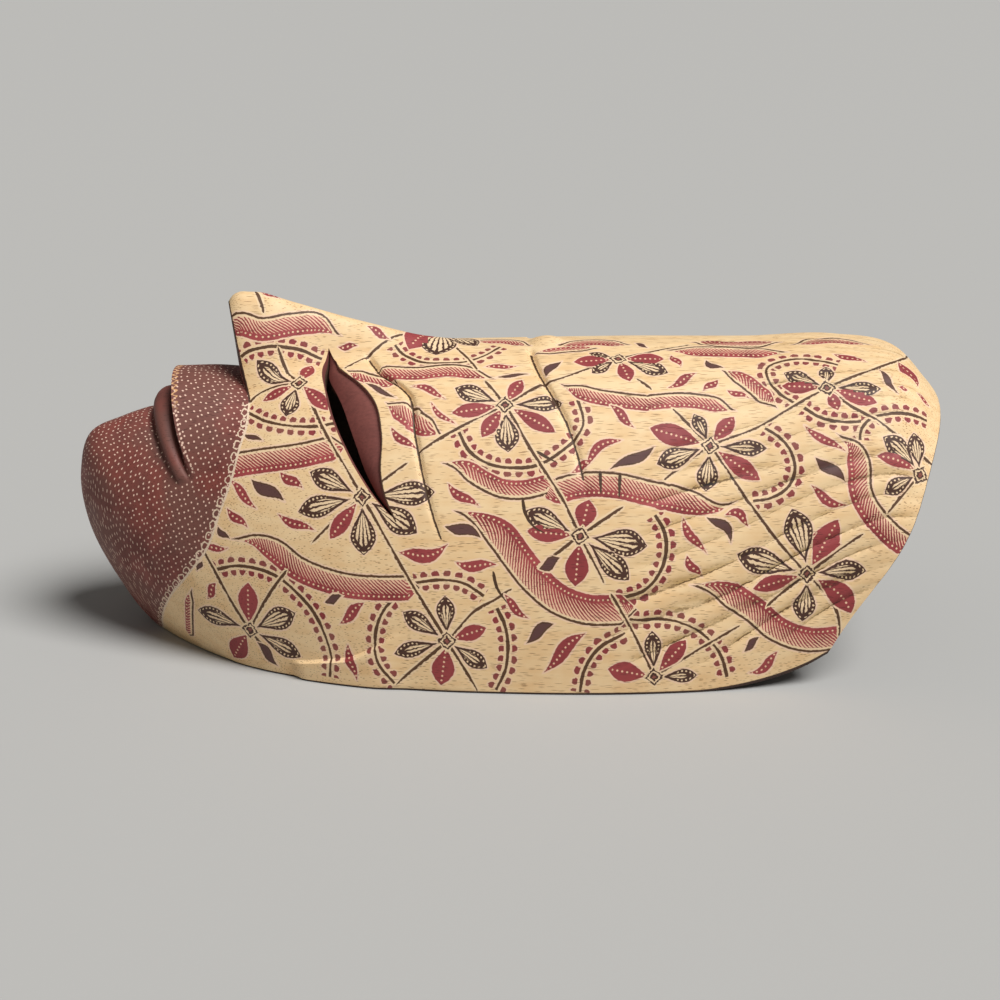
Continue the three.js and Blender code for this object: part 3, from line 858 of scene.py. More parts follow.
    def to_object(self, mesh: ShellMesh) -> bpy.types.Object:
        """Makes the Blender object.

        Args:
            mesh: the shell's mesh, which loses the points that no face uses.

        Returns:
            The object.
        """
        faces = mesh.faces
        used = np.unique(np.concatenate([np.array(f) for f in faces]))
        renamed = np.full(mesh.count, -1)
        renamed[used] = np.arange(len(used))
        mesh.blocks = [mesh.points()[used]]
        mesh.places = [np.vstack(mesh.places)[used]]
        mesh.count = len(used)
        mesh.faces = [tuple(int(renamed[c]) for c in f) for f in faces]
        data = bpy.data.meshes.new("carved_mask")
        data.from_pydata((mesh.points() * MM).tolist(), [], mesh.faces)
        data.polygons.foreach_set("material_index", mesh.skins)
        data.shade_smooth()
        data.set_sharp_from_angle(angle=math.radians(self.sharp_angle))
        data.update()
        shown = bpy.data.objects.new("carved_mask", data)
        bpy.context.scene.collection.objects.link(shown)
        return shown


def hex_to_linear(code: str) -> tuple[float, float, float, float]:
    """Turns an sRGB hex colour into the linear colour that shaders use.

    Args:
        code: the colour, such as "f0d29b".

    Returns:
        Red, green, blue and full opacity.
    """
    shares = [int(code[i:i + 2], 16) / 255 for i in (0, 2, 4)]
    linear = [c / 12.92 if c <= 0.04045 else ((c + 0.055) / 1.055) ** 2.4 for c in shares]
    return (*linear, 1.0)


class Graph:
    """A material whose nodes are added one at a time."""

    def __init__(self, name: str) -> None:
        """Starts a material with its shader alone.

        Args:
            name: the material's name.
        """
        self.material = bpy.data.materials.new(name)
        self.material.use_nodes = True
        self.tree = self.material.node_tree
        self.shader = self.tree.nodes["Principled BSDF"]

    def add(self, kind: str, *inputs: object, sockets: dict | None = None,
            **settings: object) -> bpy.types.Node:
        """Adds a node.

        Args:
            kind: the node's type, without "ShaderNode", and after a dot the sum that it does.
            inputs: what goes into its inputs, in order: a node, a socket, a hex colour or a value.
            sockets: what goes into inputs given by name.
            settings: the node's own settings.

        Returns:
            The node.
        """
        node_type, _, operation = kind.partition(".")
        node = self.tree.nodes.new("ShaderNode" + node_type)
        if operation:
            node.operation = operation
        for name, value in settings.items():
            setattr(node, name, value)
        free = [socket for socket in node.inputs if socket.enabled]
        named = [(node.inputs[name], value) for name, value in (sockets or {}).items()]
        for socket, value in list(zip(free, inputs)) + named:
            self.join(value, socket)
        return node

    def join(self, value: object, socket: bpy.types.NodeSocket) -> None:
        """Sets a socket to a value, or links it to a node's first output in use.

        Args:
            value: a node, a socket, a hex colour or a value.
            socket: the input that takes it.
        """
        if isinstance(value, bpy.types.Node):
            value = next(output for output in value.outputs if output.enabled)
        if isinstance(value, bpy.types.NodeSocket):
            self.tree.links.new(value, socket)
        else:
            socket.default_value = hex_to_linear(value) if isinstance(value, str) else value

    def read(self, name: str) -> bpy.types.NodeSocket:
        """The three numbers of an attribute of the mesh."""
        source = self.add("Attribute", attribute_name=name)
        return self.add("SeparateXYZ", source.outputs["Vector"]).outputs


@dataclass(frozen=True)
class BatikPaint:
    """Wax-resist batik on sanded pale pule wood: dye and paint with a thin satin lacquer over the grain."""

    # Sanded wood under lacquer: warm cream, its grain in faint streaks along the mask
    wood: str = "f4d4a4"
    wood_deep: str = "e9c18c"
    pore: str = "7e5a38"
    # Block-waxed paint: brick red, walnut brown and plum, with the cream that the wax kept
    red: str = "ac4a4a"
    red_deep: str = "8f3436"
    brown: str = "4a2a1c"
    line_brown: str = "5a3a20"
    tooth: str = "8e5044"
    plum: str = "5e3c38"
    waxed: str = "f2d3aa"
    halo: str = "f3cfae"
    feather_pale: str = "f0c4a2"
    # Maroon of the chin and lips, darker where the brush went twice
    maroon: str = "8c463c"
    maroon_deep: str = "743a32"
    maroon_worn: str = "784a40"
    chin_dot: str = "f3ceb8"
    lace_cream: str = "ead0b4"
    gilt: str = "d9a878"
    groove: str = "4a3018"
    # Tints that darken whatever they cross
    # Painted shade on one side of each groove between the locks
    lock_painted_shade: str = "c6bf9c"
    # A thin dark line in each of those grooves, partly stain and partly painted shade
    lock_line_shade_and_stain: str = "7b6948"
    # Sizes in millimetres, but barb_lean and grain_stretch are shares and ray_turn is in radians. Cloud,
    # patch and grain are soft changes of tone
    lock_width: float = 8.5
    wobble_mm: float = 1.1
    cloud_mm: float = 9.0
    patch_mm: float = 26.0
    grain_mm: float = 2.6
    grain_stretch: float = 0.06
    blur_mm: float = 0.09
    petal_bead_pitch: float = 1.8
    bead_radius: float = 0.38
    ray_turn: float = 0.125
    feather_pitch: float = 1.45
    barb_lean: float = 1.1
    tooth_pitch: float = 3.9
    tooth_out: float = 2.15
    tooth_radius: float = 1.35
    chin_dot_pitch: float = 2.25
    lace_pitch: float = 4.4
    # Spacing of the pores along and across the grain. Each is a dash of under half that, some 3 mm long
    pore_length: float = 7.0
    pore_width: float = 0.42
    # Satin lacquer, from where it lies thick to where it lies thin
    roughness: tuple[float, float] = (0.55, 0.68)

    def build(self) -> bpy.types.Material:
        """Makes the material.

        Returns:
            The material, for the whole painted face.
        """
        g = Graph("batik_painted_pule_wood")
        place = g.add("TexCoord").outputs["Object"]
        fine = g.add("TexNoise", sockets={"Vector": place, "Scale": 1 / (self.wobble_mm * MM), "Detail": 1.0})
        wobble = g.add("Math.SUBTRACT", fine, 0.5)
        cloud = g.add("TexNoise", sockets={"Vector": place, "Scale": 1 / (self.cloud_mm * MM), "Detail": 3.0})
        hand = Hand(g, self, place, wobble, cloud)
        colour = hand.bare_wood()
        coats = (hand.rings, hand.feathers, hand.falling, hand.rising, hand.leaves, hand.hearts, hand.chin,
                 hand.grooves, hand.pores)
        for coat in coats:
            colour = coat(colour)
        g.join(colour, g.shader.inputs["Base Color"])
        gloss = g.add("MapRange", cloud, 0.3, 0.7, *self.roughness)
        g.join(gloss, g.shader.inputs["Roughness"])
        bump = g.add("Bump", sockets={"Height": hand.pore_mask, "Strength": 0.35, "Distance": -0.15 * MM})
        g.join(bump, g.shader.inputs["Normal"])
        return g.material


@dataclass
class Hand:
    """Lays one coat of motifs after another: each coat takes the colour below and gives the new one."""

    g: Graph
    paint: BatikPaint
    place: bpy.types.NodeSocket
    wobble: bpy.types.Node
    cloud: bpy.types.Node
    streak: bpy.types.Node = field(init=False)
    pore_mask: bpy.types.Node = field(init=False)

    def mottled(self, low: float = 0.0, high: float = 1.0) -> bpy.types.Node:
        """A value that drifts in soft patches between low and high."""
        return self.g.add("MapRange", self.cloud, 0.35, 0.65, low, high)

    def shaken(self, value: object, amount: float) -> bpy.types.Node:
        """A distance made uneven by the hand, by up to half the amount either way."""
        return self.g.add("Math.MULTIPLY_ADD", self.wobble, amount, value)

    def both(self, first: object, second: object) -> bpy.types.Node:
        """Where both masks are."""
        return self.g.add("Math.MULTIPLY", first, second)

    def over(self, mask: object, under: object, top: object) -> bpy.types.Node:
        """A colour laid over another where the mask is."""
        return self.g.add("Mix", mask, under, top, data_type="RGBA")

    def tinted(self, mask: object, under: object, tint: str) -> bpy.types.Node:
        """A colour darkened by a tint where the mask is."""
        return self.g.add("Mix", mask, under, tint, data_type="RGBA", blend_type="MULTIPLY")

    def beads(self, along: object, off: object, pitch: float, radius: float) -> bpy.types.Node:
        """Draws round dots in a row.

        Args:
            along, off: how far along the row and beside it.
            pitch, radius: the dots' spacing and size.

        Returns:
            A mask, 1 in the dots.
        """
        g = self.g
        near = g.add("Math.PINGPONG", along, pitch / 2)
        gap = g.add("VectorMath.LENGTH", g.add("CombineXYZ", near, self.shaken(off, 0.25)))
        return g.add("MapRange", gap, radius + self.paint.blur_mm, radius - self.paint.blur_mm)

    def bare_wood(self) -> bpy.types.Node:
        """Cream wood with soft streaks along the grain.

        Returns:
            Its colour.
        """
        g, p = self.g, self.paint
        grain = g.add("Mapping", self.place, (0, 0, 0), (0, 0, 0), (p.grain_stretch, 1, 1))
        streak_inputs = {"Vector": grain, "Scale": 1 / (p.grain_mm * MM), "Detail": 3.0}
        self.streak = g.add("TexNoise", sockets=streak_inputs)
        tone = self.both(g.add("Math.ADD", self.streak, self.cloud), 0.5)
        return self.over(g.add("MapRange", tone, 0.38, 0.66), p.wood, p.wood_deep)

    def pores(self, under: bpy.types.Node) -> bpy.types.Node:
        """Open pores of the wood: short dark dashes along the grain, under the lacquer.

        Args:
            under: the colour below.

        Returns:
            The colour with this coat.
        """
        g, p = self.g, self.paint
        scale = (1 / (p.pore_length * MM), 1 / (p.pore_width * MM), 1 / (p.pore_width * MM))
        cells = g.add("Mapping", self.place, (0, 0, 0), (0, 0, 0), scale)
        dash = g.add("TexVoronoi", sockets={"Vector": cells, "Scale": 1.0}).outputs["Distance"]
        self.pore_mask = g.add("MapRange", dash, 0.28, 0.16)
        seen = self.both(self.pore_mask, self.mottled(0.6, 1.0))
        return self.tinted(seen, under, p.pore)

    def rings(self, under: bpy.types.Node) -> bpy.types.Node:
        """Round borders: a brown line between two rows of teeth.

        Args:
            under: the colour below.

        Returns:
            The colour with this coat.
        """
        g, p = self.g, self.paint
        along, off, ends = g.read("ring_place")
        out = g.add("Math.ABSOLUTE", off)
        in_ends = g.add("MapRange", ends, -0.1, 0.1)
        near = g.add("Math.PINGPONG", self.shaken(along, 0.5), p.tooth_pitch / 2)
        rise = g.add("Math.SUBTRACT", out, p.tooth_out)
        gap = g.add("VectorMath.LENGTH", g.add("CombineXYZ", near, rise))
        gap = self.shaken(gap, 0.9)
        foot = g.add("MapRange", out, p.tooth_out - 0.75, p.tooth_out - 0.6)
        glow = self.both(g.add("MapRange", gap, p.tooth_radius + 0.6, p.tooth_radius + 0.35), in_ends)
        teeth = self.both(g.add("MapRange", gap, p.tooth_radius, p.tooth_radius - 0.16), foot)
        teeth = self.both(teeth, in_ends)
        colour = self.over(self.both(glow, 0.7), under, p.halo)
        colour = self.over(teeth, colour, self.over(self.mottled(), p.tooth, p.red_deep))
        rim = self.both(g.add("MapRange", self.shaken(out, 0.5), 1.25, 1.05), in_ends)
        colour = self.over(rim, colour, p.waxed)
        thin = g.add("Math.SUBTRACT", self.shaken(out, 0.4), self.mottled(0.4, 0.72))
        line = self.both(g.add("MapRange", thin, p.blur_mm, -p.blur_mm), in_ends)
        return self.over(line, colour, p.line_brown)

    def stems(self, name: str, under: bpy.types.Node) -> bpy.types.Node:
        """Brown lines with a thin waxed edge, of one direction.

        Args:
            name: the direction, as the start of its attribute's name.
            under: the colour below.

        Returns:
            The colour with this coat.
        """
        g, p = self.g, self.paint
        _, off, half = g.read(name + "_place")
        out = g.add("Math.ABSOLUTE", self.shaken(off, 0.45))
        half = self.both(half, self.mottled(0.65, 1.2))
        inside = g.add("Math.SUBTRACT", half, out)
        colour = self.over(g.add("MapRange", inside, -0.75, -0.6), under, p.waxed)
        line = g.add("MapRange", self.shaken(inside, 0.5), -p.blur_mm, p.blur_mm)
        return self.over(line, colour, p.line_brown)

    def falling(self, under: bpy.types.Node) -> bpy.types.Node:
        """Stems of the first direction."""
        return self.stems("falling", under)

    def rising(self, under: bpy.types.Node) -> bpy.types.Node:
        """Stems that cross the first."""
        return self.stems("rising", under)

    def feathers(self, under: bpy.types.Node) -> bpy.types.Node:
        """Long feathers: a red band with a row of dots, slanted barbs, and a brown line on the far side.

        Args:
            under: the colour below.

        Returns:
            The colour with this coat.
        """
        g, p = self.g, self.paint
        along, band, width = g.read("feather_place")
        _, lean, _ = g.read("feather_traits")
        far = g.add("Math.SUBTRACT", width, band)
        edge = self.shaken(g.add("Math.MINIMUM", band, far), 0.4)
        share = g.add("Math.DIVIDE", band, g.add("Math.MAXIMUM", width, 0.5))
        slope = g.add("Math.MULTIPLY", lean, p.barb_lean)
        slant = g.add("Math.MULTIPLY_ADD", self.shaken(band, 0.5), slope, along)
        barb = g.add("Math.PINGPONG", slant, p.feather_pitch / 2)
        barb = g.add("Math.DIVIDE", barb, p.feather_pitch / 2)
        thin = g.add("MapRange", share, 0.28, 0.85, 0.22, 0.66)
        red_barb = g.add("MapRange", g.add("Math.SUBTRACT", barb, thin), -0.1, 0.1)
        red = self.over(self.mottled(), p.red, p.red_deep)
        colour = self.over(red_barb, p.feather_pale, red)
        band_end = g.add("Math.SUBTRACT", self.shaken(share, 0.03), 0.27)
        colour = self.over(g.add("MapRange", band_end, 0.02, -0.02), colour, red)
        row = g.add("Math.SUBTRACT", share, 0.165)
        row = self.both(row, width)
        dots = self.beads(along, row, 1.8, 0.34)
        colour = self.over(dots, colour, p.waxed)
        gap = g.add("MapRange", self.shaken(far, 0.4), 1.75, 1.6)
        colour = self.over(gap, colour, p.waxed)
        line = g.add("MapRange", self.shaken(far, 0.5), 0.95, 0.8)
        colour = self.over(line, colour, p.line_brown)
        glow = g.add("MapRange", edge, -0.65, -0.5)
        body = g.add("MapRange", edge, -p.blur_mm, p.blur_mm)
        return self.over(body, self.over(glow, under, p.halo), colour)

    def leaves(self, under: bpy.types.Node) -> bpy.types.Node:
        """Petals and small leaves: red with a row of dots, veined in brown, or plain plum.

        Args:
            under: the colour below.

        Returns:
            The colour with this coat.
        """
        g, p = self.g, self.paint
        along, off, half = g.read("leaf_place")
        length, kind, seed = g.read("leaf_traits")
        inside = g.add("Math.SUBTRACT", half, g.add("Math.ABSOLUTE", off))
        edge = self.shaken(inside, 0.45)
        share = g.add("Math.DIVIDE", along, length)
        # Red petal
        tone = g.add("Math.ADD", self.cloud, seed)
        red = self.over(g.add("Math.PINGPONG", tone, 0.5), p.red_deep, p.red)
        within = self.both(g.add("MapRange", share, 0.06, 0.1), g.add("MapRange", share, 0.92, 0.88))
        row = self.beads(along, off, p.petal_bead_pitch, p.bead_radius)
        red = self.over(self.both(row, within), red, p.feather_pale)
        # Hatched petal
        out = g.add("Math.ADD", along, 1.2)
        turn = g.add("Math.ARCTAN2", off, out)
        turn = g.add("Math.MULTIPLY_ADD", self.wobble, 0.07, turn)
        ray = g.add("Math.PINGPONG", turn, p.ray_turn / 2)
        dark = g.add("MapRange", share, 0.1, 0.9, 0.1 * p.ray_turn, 0.26 * p.ray_turn)
        ray = g.add("Math.SUBTRACT", ray, dark)
        ray = g.add("MapRange", ray, -0.04 * p.ray_turn, 0.04 * p.ray_turn)
        rim = g.add("Math.MULTIPLY_ADD", self.both(share, share), 2.9, 0.75)
        deep = g.add("Math.SUBTRACT", edge, rim)
        open_ray = self.both(ray, g.add("MapRange", deep, -0.1, 0.15))
        rim_off = g.add("Math.SUBTRACT", edge, 0.88)
        rim_row = self.both(self.beads(along, rim_off, 1.5, 0.34), g.add("MapRange", share, 0.38, 0.48))
        cream = g.add("Math.MAXIMUM", open_ray, rim_row)
        veined = self.over(cream, p.brown, p.waxed)
        colour = self.over(g.add("MapRange", kind, 0.4, 0.6), red, veined)
        plum = self.over(g.add("MapRange", edge, 0.35, 0.6), p.line_brown, p.plum)
        colour = self.over(g.add("MapRange", kind, 1.4, 1.6), colour, plum)
        glow = g.add("MapRange", edge, -0.75, -0.6)
        body = g.add("MapRange", edge, -p.blur_mm, p.blur_mm)
        return self.over(body, self.over(glow, under, p.halo), colour)

    def hearts(self, under: bpy.types.Node) -> bpy.types.Node:
        """The heart of each flower: two squares, one in the other, set on a corner.

        Args:
            under: the colour below.

        Returns:
            The colour with this coat.
        """
        g, p = self.g, self.paint
        x, y, _ = g.read("heart_place")
        across = g.add("Math.ABSOLUTE", self.shaken(x, 1.5))
        upward = g.add("Math.ABSOLUTE", self.shaken(y, 1.5))
        box = g.add("Math.MAXIMUM", across, upward)
        # Each square's paint, and from where to where its edge runs
        squares = ((p.waxed, 3.1, 2.9), (p.brown, 2.5, 2.35), (p.waxed, 1.9, 1.75), (p.brown, 1.3, 1.15),
                   (p.tooth, 0.7, 0.55))
        colour = under
        for paint, outer, inner in squares:
            colour = self.over(g.add("MapRange", box, outer, inner), colour, paint)
        return colour

    def chin(self, under: bpy.types.Node) -> bpy.types.Node:
        """Maroon chin and lips with small dots, and the lace that borders them.

        Args:
            under: the colour below.

        Returns:
            The colour with this coat.
        """
        g, p = self.g, self.paint
        inside, lace_along, _ = g.read("border")
        s, arc, _ = g.read("skin")
        foot, mouth, corner = g.read("lips")
        flat = g.add("CombineXYZ", s, arc)
        cell_inputs = {"Vector": flat, "Scale": 1 / p.chin_dot_pitch, "Randomness": 0.45}
        cells = g.add("TexVoronoi", sockets=cell_inputs, voronoi_dimensions="2D").outputs["Distance"]
        dots = g.add("MapRange", cells, 0.175, 0.115)
        patch_inputs = {"Vector": self.place, "Scale": 1 / (p.patch_mm * MM), "Detail": 3.0}
        patch = g.add("TexNoise", sockets=patch_inputs)
        maroon = self.over(self.mottled(), p.maroon, p.maroon_deep)
        maroon = self.over(g.add("MapRange", patch, 0.42, 0.6), maroon, p.maroon_worn)
        lower_lip = self.both(g.add("MapRange", foot, -0.6, 0.1), g.add("MapRange", mouth, 0.1, -0.3))
        lower_lip = self.both(lower_lip, g.add("MapRange", corner, -1.0, 0.5))
        dots = self.both(dots, g.add("Math.SUBTRACT", 1.0, lower_lip))
        dotted = self.over(dots, maroon, p.chin_dot)
        # A gilt squiggle runs along the edge of the upper lip
        wave = g.add("Math.SINE", g.add("Math.MULTIPLY", arc, 2.9))
        rise = g.add("Math.SUBTRACT", mouth, 3.7)
        gap = g.add("Math.MULTIPLY_ADD", wave, -0.75, self.shaken(rise, 1.2))
        gap = g.add("Math.ABSOLUTE", gap)
        squiggle = self.both(g.add("MapRange", gap, 0.48, 0.32), g.add("MapRange", corner, 20.0, 26.0))
        dotted = self.over(squiggle, dotted, p.gilt)
        lip_row = self.both(self.beads(arc, rise, 1.5, 0.42), g.add("MapRange", corner, 1.0, 3.0))
        lip_row = self.both(lip_row, g.add("MapRange", corner, 26.0, 20.0))
        dotted = self.over(lip_row, dotted, p.chin_dot)
        # Lace: a thin line with a loop on its maroon side
        near = g.add("Math.PINGPONG", lace_along, p.lace_pitch / 2)
        rise = g.add("Math.SUBTRACT", inside, 1.25)
        near = g.add("Math.MULTIPLY", near, 0.72)
        loop = g.add("VectorMath.LENGTH", g.add("CombineXYZ", near, rise))
        loop = g.add("Math.SUBTRACT", self.shaken(loop, 1.0), 1.1)
        loop = g.add("Math.ABSOLUTE", loop)
        on_lace = g.add("MapRange", lace_along, 0.0, 0.5)
        loops = self.both(g.add("MapRange", loop, 0.27, 0.13), on_lace)
        dotted = self.over(loops, dotted, p.lace_cream)
        line = g.add("Math.ABSOLUTE", self.shaken(inside, 0.3))
        colour = self.over(g.add("MapRange", inside, -0.05, 0.05), under, dotted)
        edge = self.over(on_lace, p.brown, p.lace_cream)
        return self.over(g.add("MapRange", line, 0.45, 0.33), colour, edge)

    def grooves(self, under: bpy.types.Node) -> bpy.types.Node:
        """Stain in the carved lines and cuts, a dark line at each eye's brow edge, and painted shade between
        the locks.

        Args:
            under: the colour below.

        Returns:
            The colour with this coat.
        """
        g, p = self.g, self.paint
        brow, hair, _ = g.read("carving")
        number, weight, _ = g.read("locks")
        _, off, half = g.read("cut_place")
        # Each groove between two locks: soft painted shade up to a thin dark line of stain and painted shade
        lock = g.add("Math.SUBTRACT", g.add("Math.FRACT", number), 0.5)
        gap = self.shaken(g.add("Math.MULTIPLY", lock, p.lock_width), 1.1)
        streaky_lock_weight = self.both(weight, g.add("MapRange", self.streak, 0.4, 0.58, 0.25, 1.0))
        shade = self.both(g.add("MapRange", gap, -2.6, 0.0), g.add("MapRange", gap, 0.25, 0.1))
        # Painted shade on one side of the groove, streaky
        colour = self.tinted(self.both(shade, streaky_lock_weight), under, p.lock_painted_shade)
        edge = g.add("MapRange", g.add("Math.ABSOLUTE", gap), 0.34, 0.2)
        # The groove's thin dark line: stain and painted shade
        colour = self.tinted(self.both(edge, streaky_lock_weight), colour, p.lock_line_shade_and_stain)
        for line in (brow, hair):
            out = g.add("Math.ABSOLUTE", self.shaken(line, 0.7))
            colour = self.over(g.add("MapRange", out, 0.55, 0.3), colour, p.groove)
        out = g.add("Math.ABSOLUTE", off)
        inside = self.shaken(g.add("Math.SUBTRACT", half, out), 0.3)
        return self.over(g.add("MapRange", inside, -p.blur_mm, p.blur_mm), colour, p.groove)


@dataclass(frozen=True)
class StainedWood:
    """Wood under a thin brushed stain: matt, with its grain as faint darker streaks along the mask."""

    name: str
    stain: str
    deep: str
    roughness: float
    grain_mm: float = 0.8
    grain_stretch: float = 0.08
    cloud_mm: float = 12.0

    def build(self) -> bpy.types.Material:
        """Makes the material.

        Returns:
            The material.
        """
        g = Graph(self.name)
        place = g.add("TexCoord").outputs["Object"]
        grain = g.add("Mapping", place, (0, 0, 0), (0, 0, 0), (self.grain_stretch, 1, 1))
        streak_inputs = {"Vector": grain, "Scale": 1 / (self.grain_mm * MM), "Detail": 4.0}
        streak = g.add("TexNoise", sockets=streak_inputs)
        cloud = g.add("TexNoise", sockets={"Vector": place, "Scale": 1 / (self.cloud_mm * MM), "Detail": 3.0})
        tone = g.add("Math.MULTIPLY", g.add("Math.ADD", streak, cloud), 0.5)
        colour = g.add("Mix", g.add("MapRange", tone, 0.38, 0.64), self.stain, self.deep, data_type="RGBA")
        g.join(colour, g.shader.inputs["Base Color"])
        g.shader.inputs["Roughness"].default_value = self.roughness
        bump = g.add("Bump", sockets={"Height": streak, "Strength": 0.25, "Distance": 0.15 * MM})
        g.join(bump, g.shader.inputs["Normal"])
        return g.material


def plain_material(name: str, code: str, roughness: float) -> bpy.types.Material:
    """Makes a material of one colour, for the floor.

    Args:
        name, code: its name and its hex colour.
        roughness: how matt it is.

    Returns:
        The material.
    """
    graph = Graph(name)
    graph.join(code, graph.shader.inputs["Base Color"])
    graph.shader.inputs["Roughness"].default_value = roughness
    return graph.material


@dataclass
class Studio:
    """Pale floor, soft light and the camera, at the photograph's viewing angle."""

    aim: tuple[float, float, float] = (-0.0014, 0.0, 0.0489)
    distance: float = 0.7425
    elevation: float = 20.0
    focal_px: float = 1950.0
    frame_px: float = 1000.0
    sensor: float = 36.0
    floor_half: float = 4.0
    floor_colour: str = "b2b1ae"
    sky_colour: str = "f2f1ee"
    key_place: tuple[float, float, float] = (0.42, -0.3, 0.86)
    key_strength: float = 3.65
    key_spread: float = 32.0
    sky_strength: float = 0.16

    def eye_point(self) -> Vector:
        """Where the camera stands."""
        lift = math.radians(self.elevation)
        return Vector(self.aim) + self.distance * Vector((0, -math.cos(lift), math.sin(lift)))

    def camera(self) -> None:
        """Makes the camera."""
        data = bpy.data.cameras.new("camera")
        data.sensor_width = self.sensor
        data.lens = self.focal_px * self.sensor / self.frame_px
        data.clip_start = 0.01
        data.clip_end = 50
        camera = bpy.data.objects.new("camera", data)
        camera.location = self.eye_point()
        camera.rotation_mode = "QUATERNION"
        camera.rotation_quaternion = (Vector(self.aim) - self.eye_point()).to_track_quat("-Z", "Y")
        bpy.context.scene.collection.objects.link(camera)
        bpy.context.scene.camera = camera

    def key_light(self) -> None:
        """Makes the one large soft light, so far off that the floor is lit evenly."""
        data = bpy.data.lights.new("key", "SUN")
        data.energy = self.key_strength
        data.angle = math.radians(self.key_spread)
        light = bpy.data.objects.new("key", data)
        light.location = self.key_place
        light.rotation_mode = "QUATERNION"
        light.rotation_quaternion = (-Vector(self.key_place)).to_track_quat("-Z", "Y")
        bpy.context.scene.collection.objects.link(light)

    def floor(self) -> None:
        """Makes the floor, which isn't part of the object."""
        h = self.floor_half
        data = bpy.data.meshes.new("floor")
        data.from_pydata([(-h, -h, 0), (h, -h, 0), (h, h, 0), (-h, h, 0)], [], [(0, 1, 2, 3)])
        floor = bpy.data.objects.new("floor", data)
        floor.data.materials.append(plain_material("floor", self.floor_colour, 0.9))
        bpy.context.scene.collection.objects.link(floor)

    def build(self) -> None:
        """Sets the stage."""
        self.floor()
        self.camera()
        self.key_light()
        world = bpy.data.worlds.new("studio")
        world.use_nodes = True
        background = world.node_tree.nodes["Background"]
        background.inputs["Color"].default_value = hex_to_linear(self.sky_colour)
        background.inputs["Strength"].default_value = self.sky_strength
        bpy.context.scene.world = world
        bpy.context.scene.view_settings.view_transform = "Standard"


class Motif(Enum):
    """Kinds of painted motif. The number of a leaf's kind tells its material which one to draw."""

    RED = 0
    HATCHED = 1
    DARK = 2
    FEATHER = 3
    RING = 4
    STEM = 5
    CUT = 6
    LACE = 7


# Outlines along a motif: a power that shifts the widest point, and one that makes the ends more pointed
OUTLINES = {Motif.RED: (1.25, 0.85), Motif.HATCHED: (1.5, 0.9), Motif.CUT: (0.5, 0.7)}
SWAYING_OUTLINE = (0.9, 1.35)


@dataclass
class Stroke:
    """One motif drawn along a line on the mask."""

    motif: Motif
    places: Array
    half: float = 0.0
    band: int = 1
    open_ends: tuple[bool, bool] = (False, False)
    slimness: float = 0.0
    sway: float = 0.0
    step: float = 1.4

    def lay(self, form: MaskForm) -> None:
        """Lays the line on the carved face as short straight steps, in millimetres.

        Args:
            form: the mask's form.
        """
        corners = form.carved(self.places[:, 0], self.places[:, 1])
        chords = np.linalg.norm(np.diff(corners, axis=0), axis=1)
        knots = np.concatenate([[0.0], np.cumsum(np.maximum(chords, 0.01))])
        count = max(3, math.ceil(knots[-1] / self.step))
        spots = SmoothCurve(list(knots), list(self.places)).rows_at(np.linspace(0, knots[-1], count + 1))
        self.line = form.carved(spots[:, 0], spots[:, 1])
        middles = (spots[1:] + spots[:-1]) / 2
        steps = np.diff(self.line, axis=0)
        self.spans = np.linalg.norm(steps, axis=1)
        self.ways = unit(steps)
        self.sides = unit(np.cross(form.carved_normal(middles[:, 0], middles[:, 1]), self.ways))
        self.starts = np.concatenate([[0.0], np.cumsum(self.spans)[:-1]])
        self.length = float(self.spans.sum())
        if self.slimness:
            self.half = self.length * self.slimness

    def measure(self, points: Array) -> tuple[Array, Array]:
        """Measures points against the line.

        Args:
            points: positions in millimetres.

        Returns:
            How far along the line and how far to its band's side each point lies.
        """
        away = points[:, None, :] - self.line[None, :-1, :]
        along = np.einsum("nmk,mk->nm", away, self.ways)
        low = np.zeros(len(self.spans))
        high = self.spans.copy()
        low[0], high[-1] = -1e6, 1e6
        held = np.clip(along, low, high)
        gap = away - held[..., None] * self.ways
        nearest = np.argmin(np.einsum("nmk,nmk->nm", gap, gap), axis=1)
        pick = np.arange(len(points))
        off = np.einsum("nk,nk->n", away[pick, nearest], self.sides[nearest])
        along = self.starts[nearest] + held[pick, nearest]
        return along, off * self.band - self.sway * np.sin(2 * np.pi * clamp01(along / self.length))

    def half_at(self, along: Array) -> Array:
        """Half the motif's width along its line.

        Args:
            along: how far along the line, in millimetres.

        Returns:
            The half width, below zero past the line's ends.
        """
        share = clamp01(along / self.length)
        past = np.maximum(0, np.maximum(-along, along - self.length))
        outline = SWAYING_OUTLINE if self.sway else OUTLINES.get(self.motif)
        if outline:
            shape = np.sin(np.pi * share ** outline[0]) ** outline[1]
        elif self.motif is Motif.FEATHER:
            start = 1.0 if self.open_ends[0] else ease(share / 0.3 + 0.03)
            end = 1.0 if self.open_ends[1] else ease((1 - share) / 0.3 + 0.03)
            shape = start * end
        else:
            shape = 0.65 + 0.35 * ease(np.minimum(along, self.length - along) / 3)
        return self.half * shape - past


